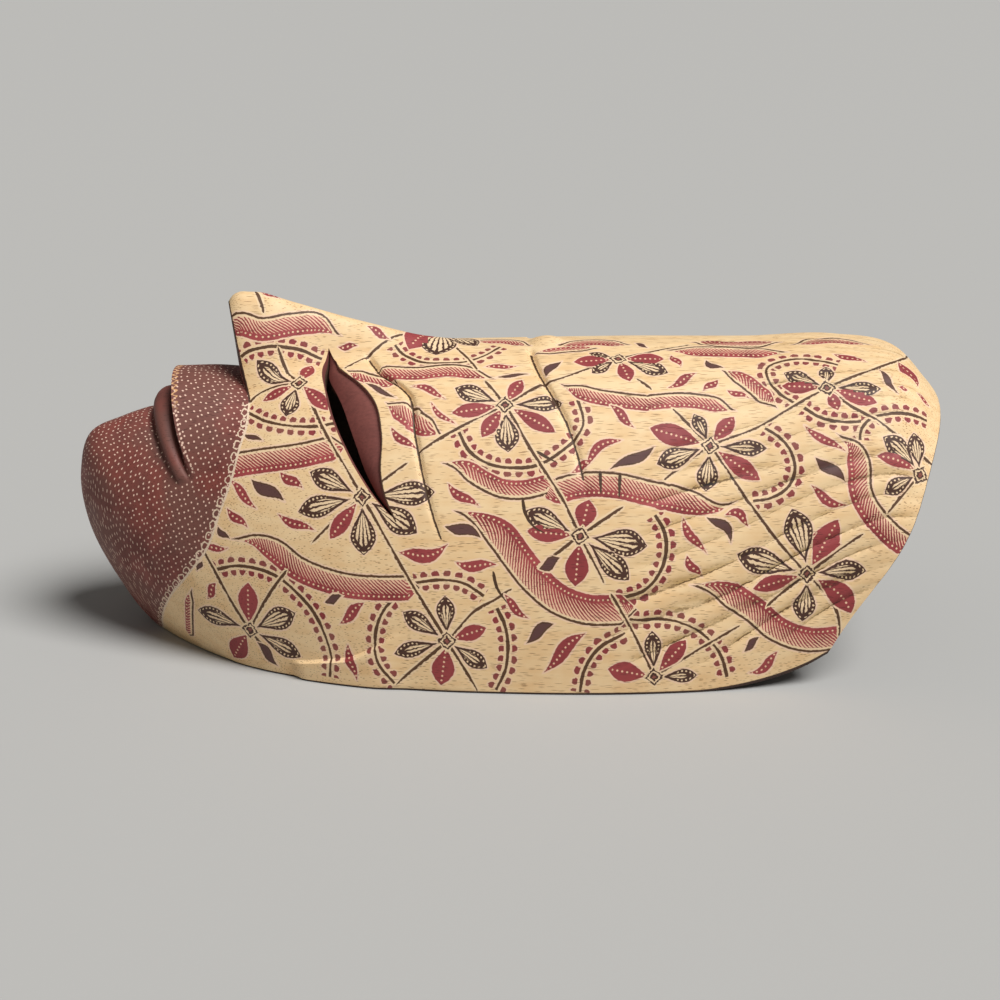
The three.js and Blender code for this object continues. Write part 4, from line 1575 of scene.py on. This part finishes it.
@dataclass
class BatikLayout:
    """Where the motifs lie: spots of the 1000 x 1000 photograph, which PhotoView finds on the mask."""

    # Each flower: its heart, the tips of its red petals, and those of its hatched petals, each with the
    # petal's half width as a share of its length
    flowers: tuple = (
        ((299, 383), ((312, 366, 0.3), (263, 401, 0.15), (328, 410, 0.16)), (
            (257, 360, 0.18), (286, 416, 0.26))),
        ((362, 497), ((330, 539, 0.16),), (
            (310, 472, 0.19), (298, 512, 0.17), (364, 555, 0.23), (417, 533, 0.2), (435, 492, 0.17))),
        ((250, 630), ((248, 583, 0.22), (234, 657, 0.25)), (
            (295, 613, 0.22), (198, 610, 0.17), (301, 657, 0.17))),
        ((447, 641), ((486, 628, 0.2), (441, 685, 0.25)), (
            (445, 596, 0.21), (403, 612, 0.19), (487, 668, 0.19), (394, 654, 0.16))),
        ((505, 405), ((522, 380, 0.22), (555, 432, 0.15), (482, 437, 0.2), (452, 413, 0.16)), (
            (455, 388, 0.2), (562, 403, 0.16), (508, 452, 0.24))),
        ((580, 536), ((589, 500, 0.3), (527, 531, 0.18), (575, 586, 0.24)), (
            (525, 511, 0.19), (647, 546, 0.21), (629, 580, 0.18))),
        ((654, 677), ((608, 669, 0.23), (686, 640, 0.18)), ((652, 631, 0.18), (697, 675, 0.18))),
        ((710, 446), ((650, 428, 0.19), (734, 417, 0.21), (760, 480, 0.16)), (
            (694, 414, 0.2), (767, 448, 0.15), (706, 491, 0.24), (657, 464, 0.2))),
        ((807, 574), ((838, 520, 0.2), (851, 613, 0.19), (753, 589, 0.15)), (
            (737, 554, 0.18), (792, 509, 0.21), (866, 571, 0.18), (802, 621, 0.23))),
        ((827, 388), ((782, 386, 0.2), (877, 403, 0.18), (838, 410, 0.24)), (
            (784, 373, 0.2), (826, 367, 0.28), (881, 389, 0.17))),
        ((618, 359), ((574, 362, 0.22), (664, 359, 0.22), (630, 381, 0.24)), (
            (589, 353, 0.18), (592, 373, 0.22), (668, 373, 0.2))),
        ((443, 339), ((409, 349, 0.24),), ((436, 355, 0.28), (477, 346, 0.22))),
        ((920, 475), ((877, 456, 0.15),), ((883, 437, 0.2), (914, 433, 0.24), (885, 494, 0.2))),
    )
    # Each feather: half width in mm, side of its dotted band, whether each end is cut off, and its line
    feathers: tuple = (
        (4.4, -1, (True, False), ((235, 326), (261, 329), (293, 324), (318, 323), (342, 336))),
        (4.6, -1, (True, True), ((229, 466), (265, 460), (301, 455), (333, 448))),
        (4.6, -1, (False, True), (
            (230, 539), (255, 540), (276, 551), (296, 567), (323, 579), (351, 586), (376, 588), (407, 588))),
        (2.6, -1, (False, False), ((346, 370), (371, 379), (400, 386))),
        (3.4, -1, (True, False), ((384, 372), (416, 373), (452, 370), (496, 379))),
        (4.0, -1, (False, False), ((385, 402), (405, 413), (423, 425), (443, 435))),
        (3.5, 1, (False, True), ((441, 463), (462, 467), (481, 479), (503, 489), (524, 490), (549, 484))),
        (5.6, 1, (False, True), (
            (452, 510), (477, 519), (500, 535), (516, 556), (536, 581), (561, 601), (588, 610), (621, 610))),
        (4.6, -1, (True, False), (
            (554, 492), (579, 485), (614, 485), (650, 493), (685, 501), (719, 507), (737, 501))),
        (3.4, -1, (False, True), ((560, 384), (592, 395), (622, 400), (649, 403))),
        (3.3, -1, (True, False), ((649, 402), (685, 400), (712, 403), (737, 411))),
        (3.2, 1, (False, False), ((721, 370), (742, 379), (762, 395), (778, 409))),
        (4.8, 1, (False, True), (
            (689, 585), (719, 590), (751, 608), (778, 630), (808, 640), (838, 638))),
        (4.2, -1, (False, True), (
            (836, 433), (854, 446), (860, 469), (861, 491), (872, 513), (892, 535), (904, 544))),
        (4.0, -1, (False, False), ((664, 350), (720, 352), (790, 352))),
        (3.6, -1, (False, False), ((556, 345), (592, 342), (632, 345))),
        (3.2, -1, (False, False), ((472, 341), (502, 341), (532, 346))),
        (2.4, 1, (False, False), ((534, 356), (562, 350), (600, 348))),
        (3.6, 1, (False, False), ((690, 342), (735, 344), (782, 342))),
        (3.6, -1, (False, False), ((790, 345), (832, 341), (872, 345))),
        (2.0, -1, (False, True), ((192, 588), (190, 633))),
    )
    # Round borders, the stems of each direction, and the chisel's short cuts: each one's line
    rings: tuple = (
        ((241, 357), (249, 351), (265, 347), (283, 347), (304, 351), (322, 359)),
        ((247, 412), (265, 421), (292, 426), (319, 426), (335, 423)),
        ((214, 570), (234, 566), (255, 568), (278, 577), (296, 592), (314, 613), (326, 638), (331, 661),
         (330, 677)),
        ((396, 685), (378, 663), (375, 640), (380, 617), (394, 597)),
        ((414, 583), (441, 580), (463, 583), (484, 596)),
        ((497, 608), (505, 626), (508, 649), (505, 671), (496, 690)),
        ((459, 432), (470, 452), (489, 464), (513, 468), (538, 465), (559, 453), (574, 441), (583, 425),
         (578, 400)),
        ((655, 515), (664, 531), (666, 553), (659, 574), (645, 590), (618, 599)),
        ((580, 692), (584, 671), (598, 649), (625, 633)),
        ((614, 617), (640, 620), (660, 619), (684, 624), (705, 636), (719, 652), (727, 677)),
        ((765, 428), (780, 438), (792, 454), (795, 470), (789, 486), (771, 498), (753, 501)),
        ((838, 365), (819, 361), (797, 359), (779, 362), (767, 368), (769, 381), (779, 393), (794, 403)),
        ((804, 408), (819, 417), (848, 422), (866, 421)),
        ((395, 345), (404, 355), (421, 362), (443, 363), (464, 362), (486, 355), (500, 347)),
        ((860, 440), (861, 430), (872, 418), (888, 414), (907, 414), (927, 421)),
    )
    falling_stems: tuple = (
        ((278, 348), (299, 383), (326, 434), (362, 497)),
        ((362, 497), (403, 569), (447, 641), (477, 690)),
        ((446, 339), (462, 353), (477, 369)),
        ((485, 381), (505, 405), (530, 448), (550, 479), (563, 500), (580, 536), (604, 583)),
        ((255, 291), (264, 313)),
        ((611, 594), (654, 677)),
        ((201, 547), (250, 630), (278, 666)),
        ((673, 409), (685, 421), (710, 446), (747, 500), (807, 574), (840, 638)),
        ((827, 388), (851, 406), (874, 418), (898, 436), (932, 465)),
        ((637, 379), (651, 389)),
    )
    rising_stems: tuple = (
        ((248, 404), (256, 396), (274, 387), (299, 383)),
        ((312, 543), (362, 497), (407, 463)),
        ((345, 368), (371, 354), (411, 334)),
        ((418, 454), (439, 439), (464, 425), (505, 405), (545, 386), (562, 378), (618, 359), (660, 350),
         (689, 345)),
        ((539, 567), (580, 536), (623, 507)),
        ((396, 685), (447, 641), (479, 608), (496, 599), (511, 589)),
        ((664, 480), (710, 446), (756, 428), (792, 407), (827, 388), (860, 374), (885, 365), (908, 357)),
        ((767, 606), (807, 574), (863, 534)),
        ((654, 677), (715, 640), (739, 626)),
        ((250, 630), (287, 570)),
        ((920, 475), (888, 513)),
    )
    # Each small leaf: half width in mm and its line
    red_leaves: tuple = (
        (1.6, (367, 326), (390, 339)), (1.3, (260, 292), (281, 299)), (1.2, (338, 347), (358, 346)),
        (1.3, (411, 386), (428, 389), (446, 399)), (0.9, (431, 402), (441, 416), (457, 425)),
        (1.4, (391, 427), (403, 441), (418, 450)), (1.2, (484, 367), (518, 366)),
        (1.6, (448, 483), (458, 494), (480, 507)), (1.7, (280, 472), (290, 480), (303, 489)),
        (1.5, (230, 480), (242, 494), (257, 509)), (1.5, (227, 508), (236, 518), (248, 528)),
        (1.5, (278, 514), (295, 524), (316, 531)), (1.2, (203, 548), (228, 548)),
        (1.6, (216, 583), (207, 599)), (2.0, (364, 603), (353, 612), (339, 624)),
        (2.4, (398, 553), (420, 557), (448, 544)), (1.6, (348, 644), (350, 662), (357, 681)),
        (1.9, (455, 562), (475, 566), (498, 565)), (1.4, (504, 594), (513, 607), (530, 619)),
        (2.4, (586, 633), (562, 652), (543, 673)), (1.3, (591, 460), (571, 473)),
        (1.6, (610, 405), (620, 414), (635, 428)), (1.5, (623, 440), (597, 448), (583, 470)),
        (1.6, (696, 373), (682, 381), (667, 388)), (1.4, (718, 380), (703, 391)),
        (1.3, (727, 390), (749, 398)), (1.4, (671, 355), (681, 367)),
        (1.5, (725, 515), (740, 514), (749, 527)), (1.5, (683, 517), (692, 538), (707, 554)),
        (1.5, (687, 555), (692, 567), (702, 577)), (1.6, (811, 485), (824, 499), (848, 505)),
        (1.7, (778, 651), (765, 667), (748, 673)), (3.0, (898, 362), (910, 374), (918, 387)),
        (1.1, (917, 393), (930, 407)), (1.4, (804, 425), (826, 441), (847, 452)),
        (1.6, (833, 354), (867, 362)), (1.1, (899, 387), (908, 390)),
    )
    dark_leaves: tuple = (
        (1.0, (365, 383), (381, 391), (397, 398)), (0.9, (243, 434), (263, 441)),
        (0.8, (496, 377), (530, 374)), (1.6, (546, 377), (552, 366), (562, 361)),
        (2.2, (251, 479), (268, 491), (285, 502)), (1.2, (218, 526), (222, 534), (230, 539)),
        (1.0, (202, 561), (197, 571)), (1.6, (324, 602), (343, 596)),
        (2.0, (444, 526), (463, 529), (482, 539)), (1.9, (257, 642), (278, 666)),
        (1.9, (555, 624), (542, 629), (525, 644)), (2.0, (539, 569), (561, 558)),
        (1.8, (655, 446), (635, 458), (609, 470)), (1.4, (706, 360), (712, 366), (724, 368)),
        (2.0, (815, 457), (827, 466), (846, 483)), (1.2, (635, 343), (648, 348)),
        (1.6, (706, 517), (724, 525), (731, 544)), (1.4, (759, 637), (743, 652)),
        (1.3, (879, 370), (889, 383), (898, 394)),
    )
    cuts: tuple = (
        ((522, 497), (526, 515), (534, 527), (547, 534)),
        ((493, 571), (497, 588), (508, 604)),
        ((536, 451), (546, 457), (558, 463)),
        ((600, 470), (601, 496)),
        ((620, 472), (619, 500)),
    )
    # The lace border between cheek and chin, as (s, degrees down from the crest)
    lace: tuple = (
        (149.7, 21.7), (147.3, 31.2), (144.1, 36), (137.2, 45.1), (128.6, 51.9), (114.1, 60.8), (97.1, 66.5),
        (53.6, 77.7), (36, 84), (22, 90),
    )
    # From where to where the stain in the brow line and in the hair line runs, in degrees from the crest
    line_ends: tuple = ((8.8, 61.0), (7.5, 49.0))
    # How far the square hearts are turned, in radians
    heart_tilt: float = 0.7
    # The most that a petal reaches from its heart
    petal_reach: float = 26.0
    petal_start: float = 0.16
    # What a small leaf's half width is multiplied by for its fullness, and for how far it sways
    leaf_fullness: float = 1.1
    leaf_sway: float = 0.32
    stem_half: float = 0.54
    cut_half: float = 0.6
    eye_line_half: float = 0.4
    # Where the far side starts, in degrees past the crest. Up to far_split it mirrors the near side,
    # and past that it is the near side turned half round about turned_about.
    far_from: float = 13.0
    far_split: float = 182.0
    turned_about: float = 281.0


@dataclass
class PhotoView:
    """The photograph's camera. It finds where a spot of the picture lies on the carved face."""

    form: MaskForm
    studio: Studio
    past_crest: float = 14.0
    rounds: int = 6

    def __post_init__(self) -> None:
        """Lays a net of known places over the side that the camera sees."""
        self.eye = np.array(self.studio.eye_point()) / MM
        ahead = unit(np.array(self.studio.aim) / MM - self.eye)
        right = unit(np.cross(ahead, (0.0, 0.0, 1.0)))
        self.axes = np.stack([right, np.cross(right, ahead), ahead])
        s, angle = np.meshgrid(np.arange(4, self.form.length - 1, 1.5), np.arange(-88, self.past_crest, 1.0))
        look = self.eye - self.form.carved(s, angle)
        seen = np.einsum("ijk,ijk->ij", self.form.carved_normal(s, angle), look) > 0
        self.net = np.stack([s[seen], angle[seen]], axis=-1)
        self.net_shown = self.project(self.net)

    def project(self, places: Array) -> Array:
        """Shows places in the picture.

        Args:
            places: s and angle of each.

        Returns:
            x and y of each.
        """
        away = (self.form.carved(places[..., 0], places[..., 1]) - self.eye) @ self.axes.T
        flat = away[..., :2] / away[..., 2:] * self.studio.focal_px
        return self.studio.frame_px / 2 + flat * np.array([1, -1])

    def find(self, spots: tuple) -> Array:
        """Places (s, angle) that show at spots of the picture.

        Args:
            spots: pairs of x and y in the picture.

        Returns:
            One row of s and angle for each spot.
        """
        wanted = np.array(spots, float)[:, :2]
        gaps = np.linalg.norm(self.net_shown[None] - wanted[:, None], axis=-1)
        places = self.net[np.argmin(gaps, axis=1)]
        best, best_gap = places.copy(), gaps.min(axis=1)
        for _ in range(self.rounds):
            here = self.project(places)
            slopes = [(self.project(places + nudge) - here) * 10 for nudge in ((0.1, 0), (0, 0.1))]
            move = np.linalg.pinv(np.stack(slopes, axis=-1), rcond=0.02) @ (wanted - here)[..., None]
            places = places + np.clip(move[..., 0], -1.5, 1.5)
            gap = np.linalg.norm(self.project(places) - wanted, axis=1)
            better = gap < best_gap
            best[better], best_gap[better] = places[better], gap[better]
        return best


@dataclass
class BatikMap:
    """Writes on the mesh, for every face's corners, where they lie on the motif nearest to that face."""

    form: MaskForm
    view: PhotoView
    layout: BatikLayout = field(default_factory=BatikLayout)
    reach: float = 5.5
    unpainted: float = -50.0
    # The stain of a carved line ends over these degrees, at the crest and down the side
    line_fade: tuple[float, float] = (4.0, 8.0)
    past_line: float = 30.0

    def stroke(self, motif: Motif, spots: tuple, **traits: object) -> Stroke:
        """A stroke of a motif through spots of the picture."""
        return Stroke(motif, self.view.find(spots), **traits)

    def far_places(self, places: Array) -> Array:
        """Takes a motif of the near side to the far side.

        Args:
            places: rows of s and angle, of which the first decides.

        Returns:
            Its places there, fewer than two if it has none.
        """
        layout = self.layout
        if places[:, 1].max() > -layout.far_from:
            return places[:0]
        if places[0, 0] < layout.far_split:
            return places * np.array([1.0, -1.0])
        turned = np.array([2 * layout.turned_about, 0.0]) - places
        if turned[0, 0] < layout.far_split:
            return places[:0]
        return turned[turned[:, 0] < self.form.length]

    def with_far_side(self, strokes: list[Stroke]) -> list[Stroke]:
        """The strokes, and those well down the near side again on the far side."""
        far = [replace(stroke, places=self.far_places(stroke.places)) for stroke in strokes]
        return strokes + [stroke for stroke in far if len(stroke.places) > 1]

    def petals(self) -> list[Stroke]:
        """Draws every flower's petals and all the small leaves.

        Returns:
            Their strokes.
        """
        layout = self.layout
        strokes = []
        for heart, red, hatched in layout.flowers:
            for motif, tips in ((Motif.RED, red), (Motif.HATCHED, hatched)):
                for x, y, slimness in tips:
                    ends = self.view.find((heart, (x, y)))
                    reach = np.linalg.norm(self.form.carved(ends[1:, 0], ends[1:, 1]) -
                                           self.form.carved(ends[:1, 0], ends[:1, 1]))
                    ends[1] = mix(ends[0], ends[1], min(1.0, layout.petal_reach / reach))
                    ends[0] = mix(ends[0], ends[1], layout.petal_start)
                    strokes.append(Stroke(motif, ends, slimness=slimness * (1 + layout.petal_start)))
        for motif, leaves in ((Motif.RED, layout.red_leaves), (Motif.DARK, layout.dark_leaves)):
            strokes += [
                self.stroke(motif, spots, half=half * layout.leaf_fullness,
                            sway=half * (-layout.leaf_sway if number % 3 else layout.leaf_sway))
                for number, (half, *spots) in enumerate(leaves)
            ]
        return strokes

    def layers(self) -> dict[str, list[Stroke]]:
        """Draws every coat.

        Returns:
            The strokes of each, by the name of its attribute.
        """
        layout = self.layout
        stems = {"falling": layout.falling_stems, "rising": layout.rising_stems}
        coats = {
            "leaf": self.petals(),
            "feather": [
                self.stroke(Motif.FEATHER, spots, half=half, band=band, open_ends=open_ends)
                for half, band, open_ends, spots in layout.feathers
            ],
            "ring": [self.stroke(Motif.RING, spots, half=self.reach) for spots in layout.rings],
            **{name: [self.stroke(Motif.STEM, spots, half=layout.stem_half) for spots in lines]
               for name, lines in stems.items()},
            "cut": [self.stroke(Motif.CUT, spots, half=layout.cut_half) for spots in layout.cuts],
        }
        coats = {name: self.with_far_side(strokes) for name, strokes in coats.items()}
        coats["cut"] += self.eye_outlines()
        return coats

    def eye_outlines(self) -> list[Stroke]:
        """Draws a thin dark line along the brow side of each eye.

        Returns:
            Its stroke on each side.
        """
        eye = EyeLeaf()
        shares = np.linspace(0.05, 1.0, 14)
        down = mix(eye.inner_angle, eye.outer_angle, shares)
        half = self.layout.eye_line_half
        return [
            Stroke(Motif.STEM, np.stack([eye.brow_edge.at(shares), side * down], axis=1), half=half)
            for side in (-1, 1)
        ]

    def hearts(self) -> Array:
        """Places of the flowers' hearts on both sides."""
        near = self.view.find(tuple(flower[0] for flower in self.layout.flowers))
        return np.vstack([near] + [self.far_places(place[None]) for place in near])

    def nearest(self, strokes: list[Stroke], middles: Array) -> Array:
        """Finds the stroke that each face belongs to.

        Args:
            strokes: the strokes of one coat, laid on the face.
            middles: the middle of each face in millimetres.

        Returns:
            The stroke's index, or -1.
        """
        best = np.full(len(middles), -self.reach)
        owner = np.full(len(middles), -1)
        for number, stroke in enumerate(strokes):
            margin = stroke.half + self.reach
            low, high = stroke.line.min(axis=0) - margin, stroke.line.max(axis=0) + margin
            close = np.flatnonzero(np.all((middles > low) & (middles < high), axis=1))
            along, off = stroke.measure(middles[close])
            inside = stroke.half_at(along) - np.abs(off)
            wins = inside > best[close]
            best[close[wins]] = inside[wins]
            owner[close[wins]] = number
        return owner

    def write_layer(self, data: bpy.types.Mesh, name: str, strokes: list[Stroke]) -> None:
        """Writes one coat: along, aside and half width in mm, and length, kind and seed of the motif.

        Args:
            data: the mesh.
            name: what the coat's attributes start with.
            strokes: its strokes.
        """
        for stroke in strokes:
            stroke.lay(self.form)
        owner = self.nearest(strokes, self.middles)
        corner_owner = owner[self.face_of_corner]
        place = np.full((len(corner_owner), 3), self.unpainted)
        traits = np.zeros((len(corner_owner), 3))
        for number, stroke in enumerate(strokes):
            mine = np.flatnonzero(corner_owner == number)
            if not len(mine):
                continue
            along, off = stroke.measure(self.corners[mine])
            half = stroke.half_at(along)
            if stroke.motif is Motif.FEATHER:
                place[mine] = np.stack([along, half - off, 2 * half], axis=1)
            elif stroke.motif is Motif.RING:
                place[mine] = np.stack([along, off, np.minimum(along, stroke.length - along)], axis=1)
            else:
                place[mine] = np.stack([along, off, half], axis=1)
            traits[mine] = (stroke.length, stroke.motif.value, (number * 0.37) % 1)
            if stroke.motif is Motif.FEATHER:
                traits[mine, 1] = -stroke.band
        self.write(data, name + "_place", "CORNER", *place.T)
        self.write(data, name + "_traits", "CORNER", *traits.T)

    @staticmethod
    def write(data: bpy.types.Mesh, name: str, domain: str, *columns: Array) -> None:
        """Writes an attribute of three numbers.

        Args:
            data: the mesh.
            name, domain: the attribute's name, and POINT or CORNER.
            columns: its first numbers, up to three. The rest are 0.
        """
        rows = np.zeros((len(columns[0]), 3), np.float32)
        rows[:, :len(columns)] = np.stack(columns, axis=1)
        attribute = data.attributes.new(name, "FLOAT_VECTOR", domain)
        attribute.data.foreach_set("vector", rows.ravel())

    def write_hearts(self, data: bpy.types.Mesh) -> None:
        """Writes how far from the nearest flower's heart each corner lies, along its squares' two sides.

        Args:
            data: the mesh.
        """
        places = self.hearts()
        middles = self.form.carved(places[:, 0], places[:, 1])
        normals = self.form.carved_normal(places[:, 0], places[:, 1])
        ahead = self.form.carved(places[:, 0] + 0.5, places[:, 1]) - middles
        ahead = unit(ahead - normals * np.einsum("nk,nk->n", ahead, normals)[:, None])
        side = np.cross(normals, ahead)
        owner = np.argmin(np.linalg.norm(self.middles[:, None] - middles[None], axis=-1), axis=1)
        owner = owner[self.face_of_corner]
        away = self.corners - middles[owner]
        tilt = self.layout.heart_tilt * (1 + 0.3 * np.sin(2.3 * owner))
        along = np.einsum("nk,nk->n", away, ahead[owner])
        across = np.einsum("nk,nk->n", away, side[owner])
        x = along * np.cos(tilt) + across * np.sin(tilt)
        y = across * np.cos(tilt) - along * np.sin(tilt)
        self.write(data, "heart_place", "CORNER", x, y)

    def write_border(self, data: bpy.types.Mesh, s: Array, angle: Array, points: Array) -> None:
        """Writes how far inside the maroon chin each point lies, and how far along the lace.

        Args:
            data: the mesh.
            s, angle, points: place and position of each of its points.
        """
        form, lace = self.form, self.layout.lace
        down = np.abs(angle)
        nose = form.nose_base.at(down) - 0.05
        edge = np.where(down < lace[0][1], nose, np.interp(down, [p[1] for p in lace], [p[0] for p in lace]))
        inside = edge - s
        along = np.full(len(s), self.unpainted)
        for side in (-1, 1):
            stroke = Stroke(Motif.LACE, np.array([(at, side * turn) for at, turn in lace]), band=side)
            stroke.lay(form)
            close = (np.abs(inside) < 30) & (angle * side > lace[0][1] - 4)
            lace_along, off = stroke.measure(points[close])
            inside[close] = np.where(lace_along > 0, off, inside[close])
            along[close] = lace_along
        self.write(data, "border", "POINT", inside, along)

    def skin_lengths(self, s: Array, angle: Array) -> tuple[Array, Array]:
        """Measures the skin.

        Args:
            s, angle: places on it.

        Returns:
            How far each lies from the mouth along the carved skin, and from the crest round the smooth one.
        """
        form = self.form
        net_s, net_angle = np.linspace(0, form.length, 561), np.linspace(-90, 90, 91)
        net = np.meshgrid(net_s, net_angle, indexing="ij")
        row = s / form.length * (len(net_s) - 1)
        column = (np.clip(angle, -90, 90) + 90) / 180 * (len(net_angle) - 1)
        top = np.minimum(row.astype(int), len(net_s) - 2)
        left = np.minimum(column.astype(int), len(net_angle) - 2)
        down, over = row - top, column - left
        lengths = []
        mouth_row = int(np.searchsorted(net_s, form.mouth.at(0.0)))
        ways = ((0, mouth_row, form.carved(*net)), (1, len(net_angle) // 2, form.smooth(*net)))
        for axis, zero, points in ways:
            steps = np.linalg.norm(np.diff(points, axis=axis), axis=-1)
            total = np.insert(np.cumsum(steps, axis=axis), 0, 0.0, axis=axis)
            total = total - np.take(total, [zero], axis=axis)
            near = mix(total[top, left], total[top, left + 1], over)
            lengths.append(mix(near, mix(total[top + 1, left], total[top + 1, left + 1], over), down))
        return lengths[0], lengths[1]

    def write_form(self, data: bpy.types.Mesh, s: Array, angle: Array) -> None:
        """Writes the skin's own coordinates and how near each point is to the carved lines.

        Args:
            data: the mesh.
            s, angle: the place of each of its points.
        """
        form = self.form
        down = np.abs(angle)
        self.write(data, "skin", "POINT", *self.skin_lengths(s, angle))
        lines = []
        for line, (start, end) in zip((form.brow, form.hair), self.layout.line_ends):
            at_crest, at_side = self.line_fade
            past = np.maximum(clamp01((start - down) / at_crest), clamp01((down - end) / at_side))
            lines.append(np.abs(s - line.at(down)) + self.past_line * past)
        self.write(data, "carving", "POINT", *lines)
        self.write(data, "locks", "POINT", *form.locks(s, down))
        lips = (s - form.lip_foot(down), s - form.mouth.at(down), form.mouth_corner - down)
        self.write(data, "lips", "POINT", *lips)

    def write_all(self, data: bpy.types.Mesh, mesh: ShellMesh) -> None:
        """Writes every attribute that the paint reads.

        Args:
            data: the mask's mesh.
            mesh: the points and places that it was made from.
        """
        places = np.vstack(mesh.places)
        points = mesh.points()
        total = np.array([len(face) for face in mesh.faces])
        self.face_of_corner = np.repeat(np.arange(len(total)), total)
        vertex = np.concatenate([np.array(face) for face in mesh.faces])
        self.corners = points[vertex]
        self.middles = np.stack(
            [np.bincount(self.face_of_corner, self.corners[:, k]) / total for k in range(3)], axis=1
        )
        # Faces of the hollow stand far outside every stroke
        self.middles[np.array(mesh.skins) != Skin.BATIK.value] = (0.0, 0.0, 1e4)
        for name, strokes in self.layers().items():
            self.write_layer(data, name, strokes)
        self.write_hearts(data)
        self.write_border(data, places[:, 0], places[:, 1], points)
        self.write_form(data, places[:, 0], places[:, 1])


def main() -> None:
    """Builds the mask and the stage, and reports each."""
    logging.basicConfig(level=logging.INFO, format="%(message)s")
    shell = CarvedShell()
    studio = Studio()
    mask, mesh = shell.build()
    BatikMap(shell.form, PhotoView(shell.form, studio)).write_all(mask.data, mesh)
    mask.data.materials.append(BatikPaint().build())
    mask.data.materials.append(StainedWood("maroon_stained_eye", "8c5048", "76423c", 0.65).build())
    mask.data.materials.append(StainedWood("brown_stained_edge", "4a3226", "38251c", 0.65).build())
    mask.data.materials.append(StainedWood("dark_stained_hollow", "5a4030", "47311f", 0.75).build())
    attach(mask, "root")
    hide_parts("mask_shell")
    logging.info("mask: %d faces, %d points", len(mesh.faces), mesh.count)
    studio.build()
    logging.info("stage set")


if __name__ == "__main__":
    main()
